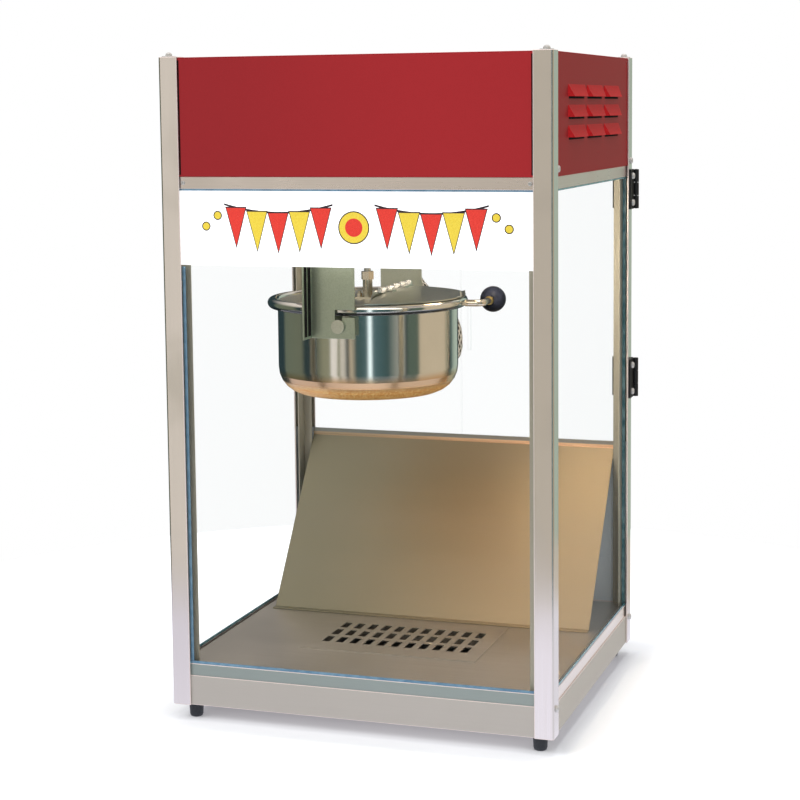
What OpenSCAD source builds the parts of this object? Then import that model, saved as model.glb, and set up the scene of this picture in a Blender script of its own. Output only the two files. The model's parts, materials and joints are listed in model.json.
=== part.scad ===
// Countertop popcorn maker: a glazed cabinet on four corner posts, with a painted
// dome that houses the gear motor, and a tipping kettle hung from its ceiling.
// Millimetres. +X is the cabinet's right, +Y its rear (the operator's side), +Z up.
// The origin lies under the middle of the overall box, on the surface that the feet stand on.

/* [Cabinet] */
// Width across the corner posts
cabinet_w = 448; // [430:1:500]
// Depth across the corner posts
cabinet_d = 410; // [400:1:460]
// Length of a corner post
post_len = 735; // [720:1:800]
// Width of each flange of a corner post
post_flange = 22; // [20:1:26]
// Thickness of the metal of a corner post
post_t = 2; // [1.5:0.1:2.5]
// Thickness of the sheet metal of panels and rails
sheet_t = 1.2; // [0.8:0.1:1.5]
// Height of a rubber foot
foot_h = 18; // [12:1:25]
// Diameter of a rubber foot at its top
foot_d = 17; // [14:1:20]
// Distance from a post's outer face to the middle of the foot
foot_inset = 20; // [16:1:28]
// Height of the base skirts
skirt_h = 35; // [33:1:45]
// Height of the sill rail that shows above a skirt
sill_show = 13.5; // [11:0.5:18]
// Height of a sill rail behind the skirt
sill_hidden = 12; // [8:1:12]
// Height of a header rail
header_h = 13.5; // [12:0.5:20]
// Depth of the rails, front to back
rail_w = 12; // [11:0.5:14]
// Height of the painted dome
dome_h = 132; // [120:1:150]
// Width of the lips folded inward along a dome panel
lip_w = 7; // [5:0.5:7]

/* [Glazing and sign] */
// Thickness of the glass
glass_t = 4; // [3:0.5:4.5]
// Depth of glass that sits in a rail's groove
glass_seat = 5; // [4:0.5:6]
// Width of the legs of the angles that clamp the glass in the corners
angle_w = 20; // [16:1:24]
// Height of the sign panel below the header rail
sign_h = 85; // [60:1:100]
// Thickness of the sign panel
sign_t = 1.5; // [1:0.1:2]

/* [Louvres] */
// Columns of louvres in a dome side
louvre_cols = 3; // [1:1:3]
// Rows of louvres in a dome side
louvre_rows = 3; // [1:1:4]
// Length of a louvre
louvre_len = 80; // [50:1:80]
// Height of a louvre
louvre_h = 13; // [8:0.5:14]
// How far a louvre stands out of the panel
louvre_out = 6; // [3:0.5:8]
// Distance between louvre columns
louvre_dy = 90; // [84:1:100]
// Distance between louvre rows
louvre_dz = 22; // [18:1:26]
// Height of the middle of the louvre field above the header rail
louvre_z = 68.5; // [55:0.5:75]

/* [Doors and hinges] */
// Thickness of a clear door
door_t = 5; // [3:0.5:6]
// Gap between the rear posts and a door
door_gap = 1; // [0.5:0.1:2]
// Gap between the two doors
door_split = 1.5; // [1:0.1:3]
// Overlap of a door on the header rail and on the rear panel
door_lap = 8; // [4:1:11]
// How far the finger grips stand behind the doors
grip_out = 10; // [8:1:14]
// Height of a finger grip
grip_h = 60; // [40:1:90]
// Height of a hinge
hinge_h = 49; // [40:1:60]
// Height of the lower hinge's middle above the door's bottom edge
hinge_low = 90; // [60:1:120]
// Depth of the upper hinge's middle below the door's top edge
hinge_high = 27; // [25:1:50]
// Thickness of a hinge leaf
leaf_t = 2; // [1.5:0.1:2.4]
// Radius of a hinge knuckle
knuckle_r = 3.5; // [3:0.1:4]
// Radius of a hinge pin
hinge_pin_r = 1.5; // [1:0.1:2]

/* [Floor and ramp] */
// Height of the rear ramp's top edge above the floor deck
ramp_h = 208; // [160:1:240]
// Height of the upright strip along the ramp's top
ramp_upright = 9; // [8:1:40]
// Slope of the ramp, from the vertical
ramp_angle = 36.2; // [30:0.2:42]
// Width of a rear clamping angle's leg, beside the ramp
rear_leg = 11.7; // [8:0.1:16]
// Width of the sifter opening in the floor deck
sifter_w = 200; // [150:1:210]
// Length of the sifter opening, front to back
sifter_l = 130; // [90:1:140]
// Distance from the sifter plate to the toe of the ramp
sifter_gap = 8.5; // [2:0.1:12]
// Width of sifter plate that lies on the deck round the opening
sifter_lap = 8; // [4:1:12]
// Width of a sifter slot
sifter_slot_w = 9; // [7:0.5:11]
// Length of a sifter slot
sifter_slot_l = 22; // [15:1:24]
// Height of the kernel drawer's walls
drawer_h = 20; // [14:1:20]
// Half the width of the kernel drawer
drawer_half_w = 105; // [105:1:125]
// Reach of the drawer pull behind the rear posts
pull_reach = 16; // [15:1:22]

/* [Kettle] */
// Distance from the cabinet's middle to the kettle's axis, to the left
kettle_left = 54; // [45:1:56]
// Depth of the kettle rim's middle below the ceiling plate
kettle_drop = 155; // [150:1:175]
// Radius of the kettle's shell
shell_r = 107.5; // [95:0.5:110]
// Depth of the kettle, from the rim's middle to the bottom
shell_depth = 108.5; // [95:0.5:120]
// Radius of the kettle's rounded bottom edge
shell_round = 32; // [20:1:36]
// Radius of the rolled rim's section
rim_roll = 6.2; // [4.5:0.1:7]
// Thickness of the kettle's shell and pan
shell_t = 1.2; // [1:0.1:1.6]
// Depth of the space for the heating element under the pan
heat_gap = 17; // [14:1:22]
// Distance of the pivot pins below the rim's middle
pivot_drop = 17; // [15:0.5:28]
// Distance of the pivot pins to the right of the kettle's axis
pivot_dx = 8.5; // [0:0.5:10]
// Radius of a pivot pin
pivot_r = 4.3; // [3.5:0.1:5]
// Radius of a pivot pin's head
pivot_head_r = 8; // [6.5:0.5:9]
// Height of the lid flap's crown
flap_crown = 8; // [4:0.5:12]
// Distance from the kettle's axis to the lid flap's straight edge
flap_edge = 35; // [32:1:42]
// Radius of the agitator shaft
shaft_r = 4; // [3:0.1:4.5]
// Outer radius of the shaft's bearing sleeve
sleeve_r = 5.8; // [5.3:0.1:7]
// Reach of the handle to the right of the rim
handle_reach = 21.5; // [16:0.5:26]
// Length of the handle towards the rear
handle_back = 51; // [40:1:60]
// Radius of the ball knob
knob_r = 15.5; // [12:0.5:18]

/* [Hangers and drive] */
// Width of a hanger plate
hanger_w = 54; // [48:1:60]
// Thickness of a hanger plate
hanger_t = 2; // [1.5:0.1:2.5]
// Depth of the flange folded outward along a hanger plate
hanger_flange = 26; // [20:1:36]
// Gap between the kettle's rim and a hanger plate
hanger_gap = 3.5; // [2.5:0.1:6]
// Length of hanger plate below the pivot pins
hanger_below = 14; // [9:0.5:16]
// Radius of the drive coupling
coupling_r = 11; // [9:0.5:13]
// Length of the drive coupling
coupling_len = 26; // [20:1:30]
// Length of the tongue at the shaft's top
tongue_len = 6; // [5:0.5:8]
// Thickness of the tongue
tongue_t = 4; // [3:0.1:4.5]

/* [Lamp and switches] */
// Distance from the cabinet's middle to the lamp, to the right
lamp_x = 105; // [95:1:120]
// Radius of the bulb
bulb_r = 27; // [24:0.5:30]
// Width of a switch's frame
switch_w = 24; // [20:1:28]
// Height of a switch's frame
switch_h = 34; // [28:1:38]
// Distance between switches
switch_dx = 44; // [40:1:50]
// Tilt of a rocker to each side
rocker_tilt = 8; // [5:1:10]
// Radius of the mains lead's hole through its gland
gland_bore_r = 4; // [3:0.1:5]

/* [Hidden] */
$fn = 48;

// Clearances
fit = 0.3;          // between pieces that are set side by side
run = 0.05;         // round a shaft or pin that turns
press = 0.02;       // round a pin that is pressed in
eps = 1;            // how far a cut runs past the face it cuts

// Box of the posts, and of what lies inside their flanges
half_w = cabinet_w / 2;
half_d = cabinet_d / 2;
in_x = half_w - post_t;
in_y = half_d - post_t;
z_top = foot_h + post_len;
z_skirt = foot_h + skirt_h;
z_sill = z_skirt + sill_show;
z_ceiling = z_top - dome_h;
z_header = z_ceiling - header_h;

// Rails and glass, measured from the inside of the posts' flanges
rail_out = sheet_t;
groove_out = rail_out + sheet_t;
groove_w = glass_t + 2 * fit;
glass_out = groove_out + fit;
glass_in = glass_out + glass_t;
rail_in = rail_out + rail_w;
z_glass_low = z_sill - glass_seat;
z_glass_high = z_header + glass_seat + 1.5;
z_deck = z_sill - 1.3;

// Doors and hinges
door_in_y = half_d + door_gap;
door_out_y = door_in_y + door_t;
z_ramp = z_deck + ramp_h;
z_door_low = z_ramp - door_lap;
z_door_high = z_header + door_lap + 3;
hinge_x = half_w + knuckle_r + 0.5;
hinge_y = door_out_y + leaf_t - knuckle_r;
door_edge_x = half_w - 2;
hinge_z = [z_door_low + hinge_low, z_door_high - hinge_high];
third = hinge_h / 3;

// Kettle
kettle_x = -kettle_left;
z_rim = z_ceiling - kettle_drop;
rim_c = shell_r + rim_roll - 0.4;
rim_r = rim_c + rim_roll;
z_shell = z_rim - shell_depth;
pan_r = shell_r - shell_t - 0.4;
z_pan = z_shell + shell_t + heat_gap;
pivot_x = kettle_x + pivot_dx;
z_pivot = z_rim - pivot_drop;
z_lid = z_rim + fit + shell_t;
z_flap = z_rim + rim_roll + fit;
flap_r = rim_r - 2.5;
hanger_y = rim_r + hanger_gap;
boss_end = hanger_y - 1.5;
// The tallest sweep of the rim as the kettle tips, which the coupling stays above
rim_sweep = norm([rim_c + pivot_dx, pivot_drop]) + rim_roll;
z_coupling = z_pivot + rim_sweep + 3;
z_tongue = z_coupling + tongue_len - 1.2;

// Overall depth: from the posts' front faces to the drawer pull and door grips
rear_reach = max(pull_reach, door_gap + door_t + grip_out);

// Kettle lead, from its gland on the shell to the receptacle in the ceiling
lead_r = 4;
lead_route = [
    [15, 97, 385], [20, 104, 385], [24, 109, 389], [26, 112, 398], [26, 113, 409],
    [24, 116, 420], [19, 120, 431], [11, 124, 441], [1, 129, 450], [-11, 134, 458],
    [-23, 139, 467], [-34, 143, 478], [-43, 147, 492], [-49, 149, 509], [-52, 150, 528],
    [-52, 150, 550], [-52, 150, 574], [-52, 150, 600]
];
lead_sides = 10;
lead_exit = lead_route[0];
lead_top = lead_route[len(lead_route) - 1];

module in_cabinet() translate([0, -rear_reach / 2, 0]) children();

module at_kettle() in_cabinet() translate([kettle_x, 0, 0]) children();

// Copies for the side that a sign names, from what is drawn at the right rear
module corner(sx, sy)
    mirror([sx < 0 ? 1 : 0, 0, 0]) mirror([0, sy < 0 ? 1 : 0, 0]) children();

module four_corners()
    for (sx = [-1, 1], sy = [-1, 1]) corner(sx, sy) children();

// A bar along X whose section is drawn as [distance in from the flange, height]
module bar_along_x(half, y_out)
    translate([-half, -y_out, 0]) rotate([90, 0, 90]) linear_extrude(2 * half) children();

module bar_along_y(half, x_out)
    translate([x_out, -half, 0]) rotate([90, 0, 180]) linear_extrude(2 * half) children();

module steel() color([0.72, 0.70, 0.66]) children();

module red_paint() color([0.63, 0.16, 0.18]) children();

// ---- Corner posts, feet and base ----

module post(sx, sy)
    steel() in_cabinet() corner(sx, sy) {
        translate([0, 0, foot_h]) linear_extrude(post_len) difference() {
            translate([half_w - post_flange, half_d - post_flange]) square(post_flange);
            translate([in_x - post_flange, in_y - post_flange]) square(post_flange);
        }
        translate([half_w - post_flange, half_d - post_flange, z_top - post_t])
            cube([post_flange - post_t / 2, post_flange - post_t / 2, post_t]);
    }

module post_front_left() post(-1, -1);
module post_front_right() post(1, -1);
module post_rear_left() post(-1, 1);
module post_rear_right() post(1, 1);

module feet()
    color([0.08, 0.08, 0.09]) in_cabinet() four_corners()
        translate([half_w - foot_inset, half_d - foot_inset, 0])
            rotate_extrude() polygon([
                [0, 0], [foot_d / 2 - 3, 0], [foot_d / 2 - 1.6, 0.8], [foot_d / 2 - 0.8, 3],
                [foot_d / 2, foot_h], [0, foot_h]]);

module base_plate()
    steel() in_cabinet() translate([0, 0, foot_h]) linear_extrude(sheet_t)
        square([2 * (in_x - sheet_t - fit), 2 * (in_y - sheet_t - fit)], center = true);

module skirt_x()
    bar_along_x(in_x, in_y) translate([0, foot_h + 0.5]) square([sheet_t, skirt_h - 0.5]);

module skirt_y()
    bar_along_y(in_y - sheet_t - fit, in_x)
        translate([0, foot_h + 0.5]) square([sheet_t, skirt_h - 0.5]);

module skirt_front() steel() in_cabinet() skirt_x();
module skirt_right() steel() in_cabinet() skirt_y();
module skirt_left() steel() in_cabinet() corner(-1, 1) skirt_y();

module skirt_rear()
    steel() in_cabinet() difference() {
        corner(1, -1) skirt_x();
        translate([-drawer_half_w - 1, 0, foot_h - eps])
            cube([2 * (drawer_half_w + 1), half_d, sheet_t + drawer_h + 1 + eps]);
    }

module sill_section(grooved) {
    low = z_skirt - sill_hidden;
    difference() {
        union() {
            translate([rail_out, low]) square([sheet_t, z_sill - low]);
            translate([rail_out, low]) square([rail_w, z_deck - low]);
        }
        translate([groove_out, low - eps])
            square([rail_w - 2 * sheet_t, z_glass_low - sheet_t - low + eps]);
        if (grooved)
            translate([groove_out, z_glass_low]) square([groove_w, glass_seat + eps]);
    }
}

module sill_rails()
    steel() in_cabinet() {
        half = in_x - sheet_t - fit;
        bar_along_x(half, in_y) sill_section(true);
        corner(1, -1) bar_along_x(half, in_y) sill_section(false);
        for (s = [-1, 1]) corner(s, 1) bar_along_y(in_y - rail_in - fit, in_x) sill_section(true);
    }

// ---- Header rails, dome and ceiling ----

module header_section(grooved)
    difference() {
        translate([rail_out, z_header]) square([rail_w, header_h]);
        if (grooved)
            translate([groove_out, z_header - eps])
                square([groove_w, z_glass_high - z_header + fit + eps]);
    }

module header_rails()
    steel() in_cabinet() {
        bar_along_x(in_x, in_y) header_section(true);
        corner(1, -1) bar_along_x(in_x, in_y) header_section(false);
        for (s = [-1, 1])
            corner(s, 1) bar_along_y(in_y - rail_in - fit, in_x) header_section(true);
    }

panel_top = z_top - post_t - 0.2;

module dome_web() translate([0, z_ceiling]) square([sheet_t, panel_top - z_ceiling]);

module dome_lips()
    for (z = [z_ceiling, panel_top - sheet_t]) translate([0, z]) square([lip_w, sheet_t]);

// A front or rear panel; a side panel's web stands beside the ends of its lips
module dome_end() {
    bar_along_x(in_x, in_y) dome_web();
    bar_along_x(in_x - sheet_t - fit, in_y) dome_lips();
}

// A pressed hood, open at the bottom, with sloping ends; back is how far it reaches inward
module louvre(back) {
    taper = 1.2 * louvre_out;
    h = louvre_h / 2;
    end = louvre_len / 2;
    intersection() {
        translate([0, end, 0]) rotate([90, 0, 0]) linear_extrude(louvre_len)
            polygon([[-back, -h], [louvre_out, -h], [0, h], [-back, h]]);
        translate([0, 0, -h - eps]) linear_extrude(louvre_h + 2 * eps)
            polygon([[-back, -end], [0, -end], [louvre_out, -end + taper],
                     [louvre_out, end - taper], [0, end], [-back, end]]);
    }
}

module louvre_field()
    for (i = [0 : louvre_cols - 1], j = [0 : louvre_rows - 1])
        translate([0, (i - (louvre_cols - 1) / 2) * louvre_dy,
                   z_ceiling + louvre_z + (j - (louvre_rows - 1) / 2) * louvre_dz])
            children();

module dome_side()
    difference() {
        union() {
            bar_along_y(in_y - sheet_t - fit, in_x) dome_web();
            bar_along_y(in_y - lip_w - fit, in_x) dome_lips();
            translate([in_x, 0, 0]) louvre_field() louvre(sheet_t / 2);
        }
        translate([in_x - sheet_t, 0, -0.02]) louvre_field() louvre(sheet_t);
    }

module dome_front() red_paint() in_cabinet() dome_end();
module dome_right() red_paint() in_cabinet() dome_side();
module dome_left() red_paint() in_cabinet() corner(-1, 1) dome_side();

switch_x = [-switch_dx, 0, switch_dx];
z_switch = z_ceiling + 0.5 * dome_h;
gland_x = -0.7 * half_w;
z_gland = z_ceiling + 0.25 * dome_h;
frame_lip = 3;
frame_deep = 14;
gland_r = gland_bore_r + 3.5;

module switch_hole()
    cube([switch_w - 2 * frame_lip, 4 * frame_deep, switch_h - 2 * frame_lip], center = true);

module dome_rear()
    red_paint() in_cabinet() difference() {
        corner(1, -1) dome_end();
        for (x = switch_x) translate([x, in_y, z_switch]) switch_hole();
        translate([gland_x, in_y - lip_w, z_gland]) rotate([-90, 0, 0])
            cylinder(h = 2 * lip_w, r = gland_r + press);
    }

module dome_lid()
    red_paint() in_cabinet() translate([0, 0, panel_top]) linear_extrude(sheet_t) difference() {
        square([2 * (in_x - fit), 2 * (in_y - fit)], center = true);
        four_corners()
            translate([half_w - post_flange - fit, half_d - post_flange - fit])
                square(post_flange);
    }

nut_inset = 9;
washer = [7.5, 0.8];
nut = [4, 1.8];
nut_dome = [3.4, 2.4];

module post_nuts()
    color([0.78, 0.77, 0.75]) in_cabinet() four_corners()
        translate([half_w - nut_inset, half_d - nut_inset, z_top]) {
            cylinder(h = washer[1], r = washer[0]);
            translate([0, 0, washer[1]]) cylinder(h = nut[1], r = nut[0], $fn = 6);
            translate([0, 0, washer[1] + nut[1]]) rotate_extrude()
                polygon([for (a = [0 : 15 : 90]) [nut_dome[0] * cos(a), nut_dome[1] * sin(a)], [0, 0]]);
        }

// A pan head screw, seated on a face that looks along +Z
module pan_head(r)
    rotate_extrude() polygon([[0, 0], [r, 0], [r, 0.35 * r], [0.8 * r, 0.6 * r], [0, 0.72 * r]]);

screw_r = 3.8;
rail_screw_r = 2.4;
hinge_screw_r = 4;
hinge_screw_z = hinge_h / 2 - 8;

module side_screws() {
    flange_y = half_d - post_flange / 2;
    translate([half_w, flange_y, z_ceiling + 6]) rotate([0, 90, 0]) pan_head(screw_r);
    translate([in_x, -(half_d - post_flange - screw_r - 1), z_ceiling + 8])
        rotate([0, 90, 0]) pan_head(screw_r);
    for (s = [-1, 1])
        translate([half_w, s * flange_y, z_skirt - 3]) rotate([0, 90, 0]) pan_head(screw_r);
    for (z = hinge_z, s = [-1, 1])
        translate([half_w + leaf_t, half_d - 8, z + s * hinge_screw_z])
            rotate([0, 90, 0]) pan_head(hinge_screw_r);
    translate([half_w - post_flange - 3.5, -(in_y - rail_out), z_header + header_h / 2])
        rotate([90, 0, 0]) pan_head(rail_screw_r);
}

module frame_screws()
    color([0.85, 0.85, 0.85]) in_cabinet() for (s = [-1, 1]) corner(s, 1) side_screws();

shaft_hole_r = coupling_r + 1;

module ceiling_plate()
    steel() in_cabinet() translate([0, 0, z_ceiling]) linear_extrude(sheet_t) difference() {
        square([2 * (in_x - lip_w - fit), 2 * (in_y - lip_w - fit)], center = true);
        translate([kettle_x, 0]) circle(shaft_hole_r);
    }

// ---- Glazing, sign and rear wall ----

module glass() color([0.75, 0.88, 0.88, 0.3]) children();

module glass_front()
    glass() in_cabinet() bar_along_x(in_x - glass_out, in_y)
        translate([glass_out, z_glass_low]) square([glass_t, z_glass_high - z_glass_low]);

module side_glass()
    bar_along_y(in_y - rail_in - fit, in_x)
        translate([glass_out, z_glass_low]) square([glass_t, z_glass_high - z_glass_low]);

module glass_right() glass() in_cabinet() side_glass();
module glass_left() glass() in_cabinet() corner(-1, 1) side_glass();

// Where the angles that clamp the glass have their outer corner, behind the sign panel
angle_x = in_x - glass_in - fit;
angle_y = in_y - glass_in - 2 * fit - sign_t;

module glass_angle(leg)
    translate([0, 0, z_deck + sheet_t]) linear_extrude(z_header - z_deck - sheet_t) difference() {
        translate([angle_x - leg, angle_y - angle_w]) square([leg, angle_w]);
        translate([angle_x - leg - sheet_t, angle_y - angle_w - sheet_t]) square([leg, angle_w]);
    }

module glass_angles()
    color([0.60, 0.66, 0.70]) in_cabinet() for (s = [-1, 1]) {
        corner(s, -1) glass_angle(angle_w);
        corner(s, 1) glass_angle(rear_leg);
    }

module sign_panel()
    color([0.97, 0.97, 0.97]) in_cabinet() bar_along_x(in_x - glass_in - fit, in_y)
        translate([glass_in + fit, z_header - sign_h]) square([sign_t, sign_h]);

module rear_panel()
    steel() in_cabinet() corner(1, -1) bar_along_x(in_x, in_y)
        translate([0, z_skirt + fit]) square([sheet_t, z_ramp - z_skirt - fit]);

// The ramp fits between the rear angles; its section is [distance in from the rear flange, height]
ramp_half_w = angle_x - rear_leg - fit;
ramp_lip = 10;
ramp_hem = 7;
ramp_y = 2 * sheet_t + fit;
z_bend = z_ramp - ramp_upright;
z_toe = z_deck + 2 * sheet_t + 0.1;
toe_y = ramp_y + (z_bend - z_toe) * tan(ramp_angle);
ramp_skin = sheet_t / cos(ramp_angle);

module ramp()
    steel() in_cabinet() corner(1, -1) bar_along_x(ramp_half_w, in_y) {
        polygon([
            [ramp_y - sheet_t, z_ramp], [ramp_y - sheet_t, z_bend],
            [toe_y - ramp_skin, z_toe], [toe_y - ramp_skin, z_toe - sheet_t],
            [toe_y + ramp_lip, z_toe - sheet_t], [toe_y + ramp_lip, z_toe],
            [toe_y, z_toe], [ramp_y, z_bend + sheet_t], [ramp_y, z_ramp]]);
        translate([ramp_y - 0.01, z_ramp - ramp_hem]) square([sheet_t, ramp_hem]);
    }

// ---- Floor deck, sifter and kernel drawer ----

// The opening keeps clear of the ramp's toe
sifter_front = sifter_l + sifter_lap + sifter_gap + ramp_lip + toe_y - in_y;

module sifter_area(grow)
    translate([-sifter_w / 2 - grow, -sifter_front - grow])
        square([sifter_w + 2 * grow, sifter_l + 2 * grow]);

module floor_deck()
    steel() in_cabinet() {
        edge = rail_out + sheet_t + groove_w + fit;
        translate([0, 0, z_deck]) linear_extrude(sheet_t) difference() {
            square([2 * (in_x - edge), 2 * (in_y - edge)], center = true);
            sifter_area(0);
        }
        chute_low = foot_h + sheet_t + drawer_h + 2;
        translate([0, 0, chute_low]) linear_extrude(z_deck - chute_low) difference() {
            sifter_area(sheet_t);
            sifter_area(0);
        }
    }

sifter_pitch_x = sifter_slot_w + 8;
sifter_pitch_y = sifter_slot_l + 9;

module sifter_plate()
    color([0.66, 0.65, 0.62]) in_cabinet() translate([0, 0, z_deck + sheet_t]) {
        cols = floor((sifter_w - 1.5 * sifter_lap) / sifter_pitch_x);
        rows = floor((sifter_l - 1.5 * sifter_lap) / sifter_pitch_y);
        linear_extrude(sheet_t) difference() {
            sifter_area(sifter_lap);
            for (i = [0 : cols - 1], j = [0 : rows - 1])
                translate([(i - (cols - 1) / 2) * sifter_pitch_x,
                           sifter_l / 2 - sifter_front + (j - (rows - 1) / 2) * sifter_pitch_y])
                    square([sifter_slot_w, sifter_slot_l], center = true);
        }
    }

drawer_gap = 0.2;
drawer_lap = 8;
pull_w = 60;
pull_lip = 6;

module kernel_drawer()
    steel() in_cabinet() {
        low = foot_h + sheet_t + fit;
        front = -sifter_front - drawer_lap + 3;
        length = in_y - front + drawer_gap;
        difference() {
            translate([-drawer_half_w, front, low]) cube([2 * drawer_half_w, length, drawer_h]);
            translate([-drawer_half_w + sheet_t, front + sheet_t, low + sheet_t])
                cube([2 * (drawer_half_w - sheet_t), length - sheet_t + eps, drawer_h]);
        }
        translate([-drawer_half_w - drawer_lap, in_y + drawer_gap, low])
            cube([2 * (drawer_half_w + drawer_lap), sheet_t, drawer_h + drawer_lap]);
        translate([-pull_w / 2, in_y + drawer_gap, low + drawer_h / 2])
            cube([pull_w, half_d + pull_reach - in_y - drawer_gap, sheet_t]);
        translate([-pull_w / 2, half_d + pull_reach - sheet_t, low + drawer_h / 2 - pull_lip])
            cube([pull_w, sheet_t, pull_lip + sheet_t]);
    }

// ---- Doors, hinges and catches ----

grip_x = door_split / 2 + 6;
grip_t = 4;
z_grip = (z_door_low + z_door_high) / 2 - grip_h;

module door() {
    translate([door_split / 2, door_in_y, z_door_low])
        cube([door_edge_x - door_split / 2, door_t, z_door_high - z_door_low]);
    translate([grip_x, door_out_y - eps, z_grip]) cube([grip_t, grip_out + eps, grip_h]);
}

module door_right() glass() in_cabinet() door();
module door_left() glass() in_cabinet() corner(-1, 1) door();

post_leaf_w = 17;
door_leaf_w = 26;

module at_hinge(z) translate([hinge_x, hinge_y, z]) children();

// The leaf on a post carries the outer two knuckles
module post_leaf(z)
    difference() {
        union() {
            translate([half_w, half_d - post_leaf_w, z - hinge_h / 2])
                cube([leaf_t, post_leaf_w, hinge_h]);
            for (s = [-1, 1]) {
                low = z + s * third - third / 2 + fit;
                translate([half_w, half_d - eps, low])
                    cube([leaf_t, hinge_y - half_d + eps, third - 2 * fit]);
                at_hinge(low) cylinder(h = third - 2 * fit, r = knuckle_r);
            }
        }
        at_hinge(z - hinge_h) cylinder(h = 2 * hinge_h, r = hinge_pin_r + press);
    }

module hinge_post_leaves()
    color([0.06, 0.06, 0.07]) in_cabinet() for (s = [-1, 1], z = hinge_z) corner(s, 1) {
        post_leaf(z);
        at_hinge(z - hinge_h / 2) cylinder(h = hinge_h, r = hinge_pin_r);
    }

// The leaf on a door carries the middle knuckle
module door_leaf(z)
    difference() {
        union() {
            translate([half_w - door_leaf_w, door_out_y, z - hinge_h / 2])
                cube([hinge_x - knuckle_r - fit - half_w + door_leaf_w, leaf_t, hinge_h]);
            translate([half_w - door_leaf_w, door_out_y, z - third / 2 + fit])
                cube([hinge_x - half_w + door_leaf_w, leaf_t, third - 2 * fit]);
            at_hinge(z - third / 2 + fit) cylinder(h = third - 2 * fit, r = knuckle_r);
        }
        at_hinge(z - hinge_h) cylinder(h = 2 * hinge_h, r = hinge_pin_r + run);
    }

catch_x = 12;
catch_w = 14;
strike_t = 1.5;
z_catch = z_header + header_h / 2 - 1;

module door_fittings() {
    for (z = hinge_z) {
        door_leaf(z);
        for (s = [-1, 1]) translate([half_w - door_leaf_w / 2, door_out_y + leaf_t, z + s * hinge_screw_z])
            rotate([-90, 0, 0]) pan_head(hinge_screw_r);
    }
    translate([catch_x, door_in_y, z_catch]) rotate([90, 0, 0]) cylinder(h = strike_t, r = 4.5);
}

module door_fittings_right() color([0.06, 0.06, 0.07]) in_cabinet() door_fittings();
module door_fittings_left() color([0.06, 0.06, 0.07]) in_cabinet() corner(-1, 1) door_fittings();

module magnetic_catches()
    color([0.2, 0.2, 0.21]) in_cabinet() for (s = [-1, 1])
        translate([s * catch_x - catch_w / 2, in_y - rail_out, z_catch - 5])
            cube([catch_w, door_in_y - strike_t - fit - in_y + rail_out, 10]);

// ---- Motor and drive ----

output_r = 5;
output_in = 18;
gearbox = [56, 90, 34];
motor_y = 18;
motor_r = 26;
motor_len = 56;
motor_cap_r = 9;
z_motor = z_ceiling + sheet_t;

module gear_motor()
    color([0.45, 0.45, 0.46]) at_kettle() {
        difference() {
            translate([-gearbox[0] / 2, -gearbox[1] / 2, z_motor]) cube(gearbox);
            translate([0, 0, z_motor - eps]) cylinder(h = output_in + 2 + eps, r = output_r + run);
        }
        translate([0, motor_y, z_motor + gearbox[2]]) cylinder(h = motor_len, r = motor_r);
        translate([0, motor_y, z_motor + gearbox[2] + motor_len]) cylinder(h = 4, r = motor_cap_r);
    }

module drive_coupling()
    color([0.62, 0.60, 0.56]) at_kettle() {
        difference() {
            translate([0, 0, z_coupling]) cylinder(h = coupling_len, r = coupling_r);
            translate([-coupling_r - eps, -tongue_t / 2 - fit, z_coupling - eps])
                cube([2 * (coupling_r + eps), tongue_t + 2 * fit, tongue_len + eps]);
        }
        translate([0, 0, z_coupling + coupling_len - eps])
            cylinder(h = z_motor + output_in - z_coupling - coupling_len + eps, r = output_r);
    }

// ---- Hangers ----

slot_r = pivot_r + run;
slot_rise = 14.8;

// The front hanger: a plate, a flange folded forward, a foot under the ceiling and a hooked slot
module hanger() {
    low = z_pivot - hanger_below;
    left = -hanger_w / 2 + 1;
    difference() {
        translate([left, -hanger_y - hanger_t, low]) cube([hanger_w, hanger_t, z_ceiling - low]);
        translate([pivot_dx, 0, z_pivot]) rotate([90, 0, 0]) cylinder(h = 2 * hanger_y, r = slot_r);
        translate([pivot_dx - slot_r, -2 * hanger_y, z_pivot])
            cube([2 * slot_r, 2 * hanger_y, slot_rise + slot_r]);
        translate([pivot_dx, -2 * hanger_y, z_pivot + slot_rise - slot_r])
            cube([hanger_w, 2 * hanger_y, 2 * slot_r]);
    }
    translate([left, -hanger_y - hanger_flange, low])
        cube([hanger_t, hanger_flange, z_ceiling - low]);
    translate([left, -hanger_y - 14, z_ceiling - hanger_t]) cube([hanger_w, 14, hanger_t]);
}

module hanger_front() color([0.55, 0.54, 0.50]) at_kettle() hanger();
module hanger_rear() color([0.55, 0.54, 0.50]) at_kettle() corner(1, -1) hanger();

// ---- Kettle ----

function bowl_edge(r, round, z_low, a) =
    [r - round + round * cos(a), z_low + round - round * sin(a)];

// Section of a bowl's wall: a lip or none, a straight side, a rounded edge and a flat bottom
module bowl_section(r, round, z_low, z_high, lip)
    polygon(concat(
        lip > 0 ? [[r + lip, z_high], [r + lip, z_high - shell_t], [r, z_high - shell_t]]
                : [[r, z_high]],
        [for (a = [0 : 15 : 90]) bowl_edge(r, round, z_low, a)],
        [[0, z_low], [0, z_low + shell_t]],
        [for (a = [90 : -15 : 0]) bowl_edge(r - shell_t, round - shell_t, z_low + shell_t, a)],
        [[r - shell_t, z_high]]));

// The lead's gland points straight out of the shell, beside the heating element's ends
lead_az = atan2(lead_exit[1], lead_exit[0] - kettle_x);
lead_gland_z = 27.5;
lead_gland_reach = 11.5;
lead_gland_in = 3.5;

// The pivot bosses start in the shell's wall
boss_r = 7;
boss_start = sqrt(pow(shell_r, 2) - pow(pivot_dx + boss_r, 2)) - 0.1;

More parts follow.
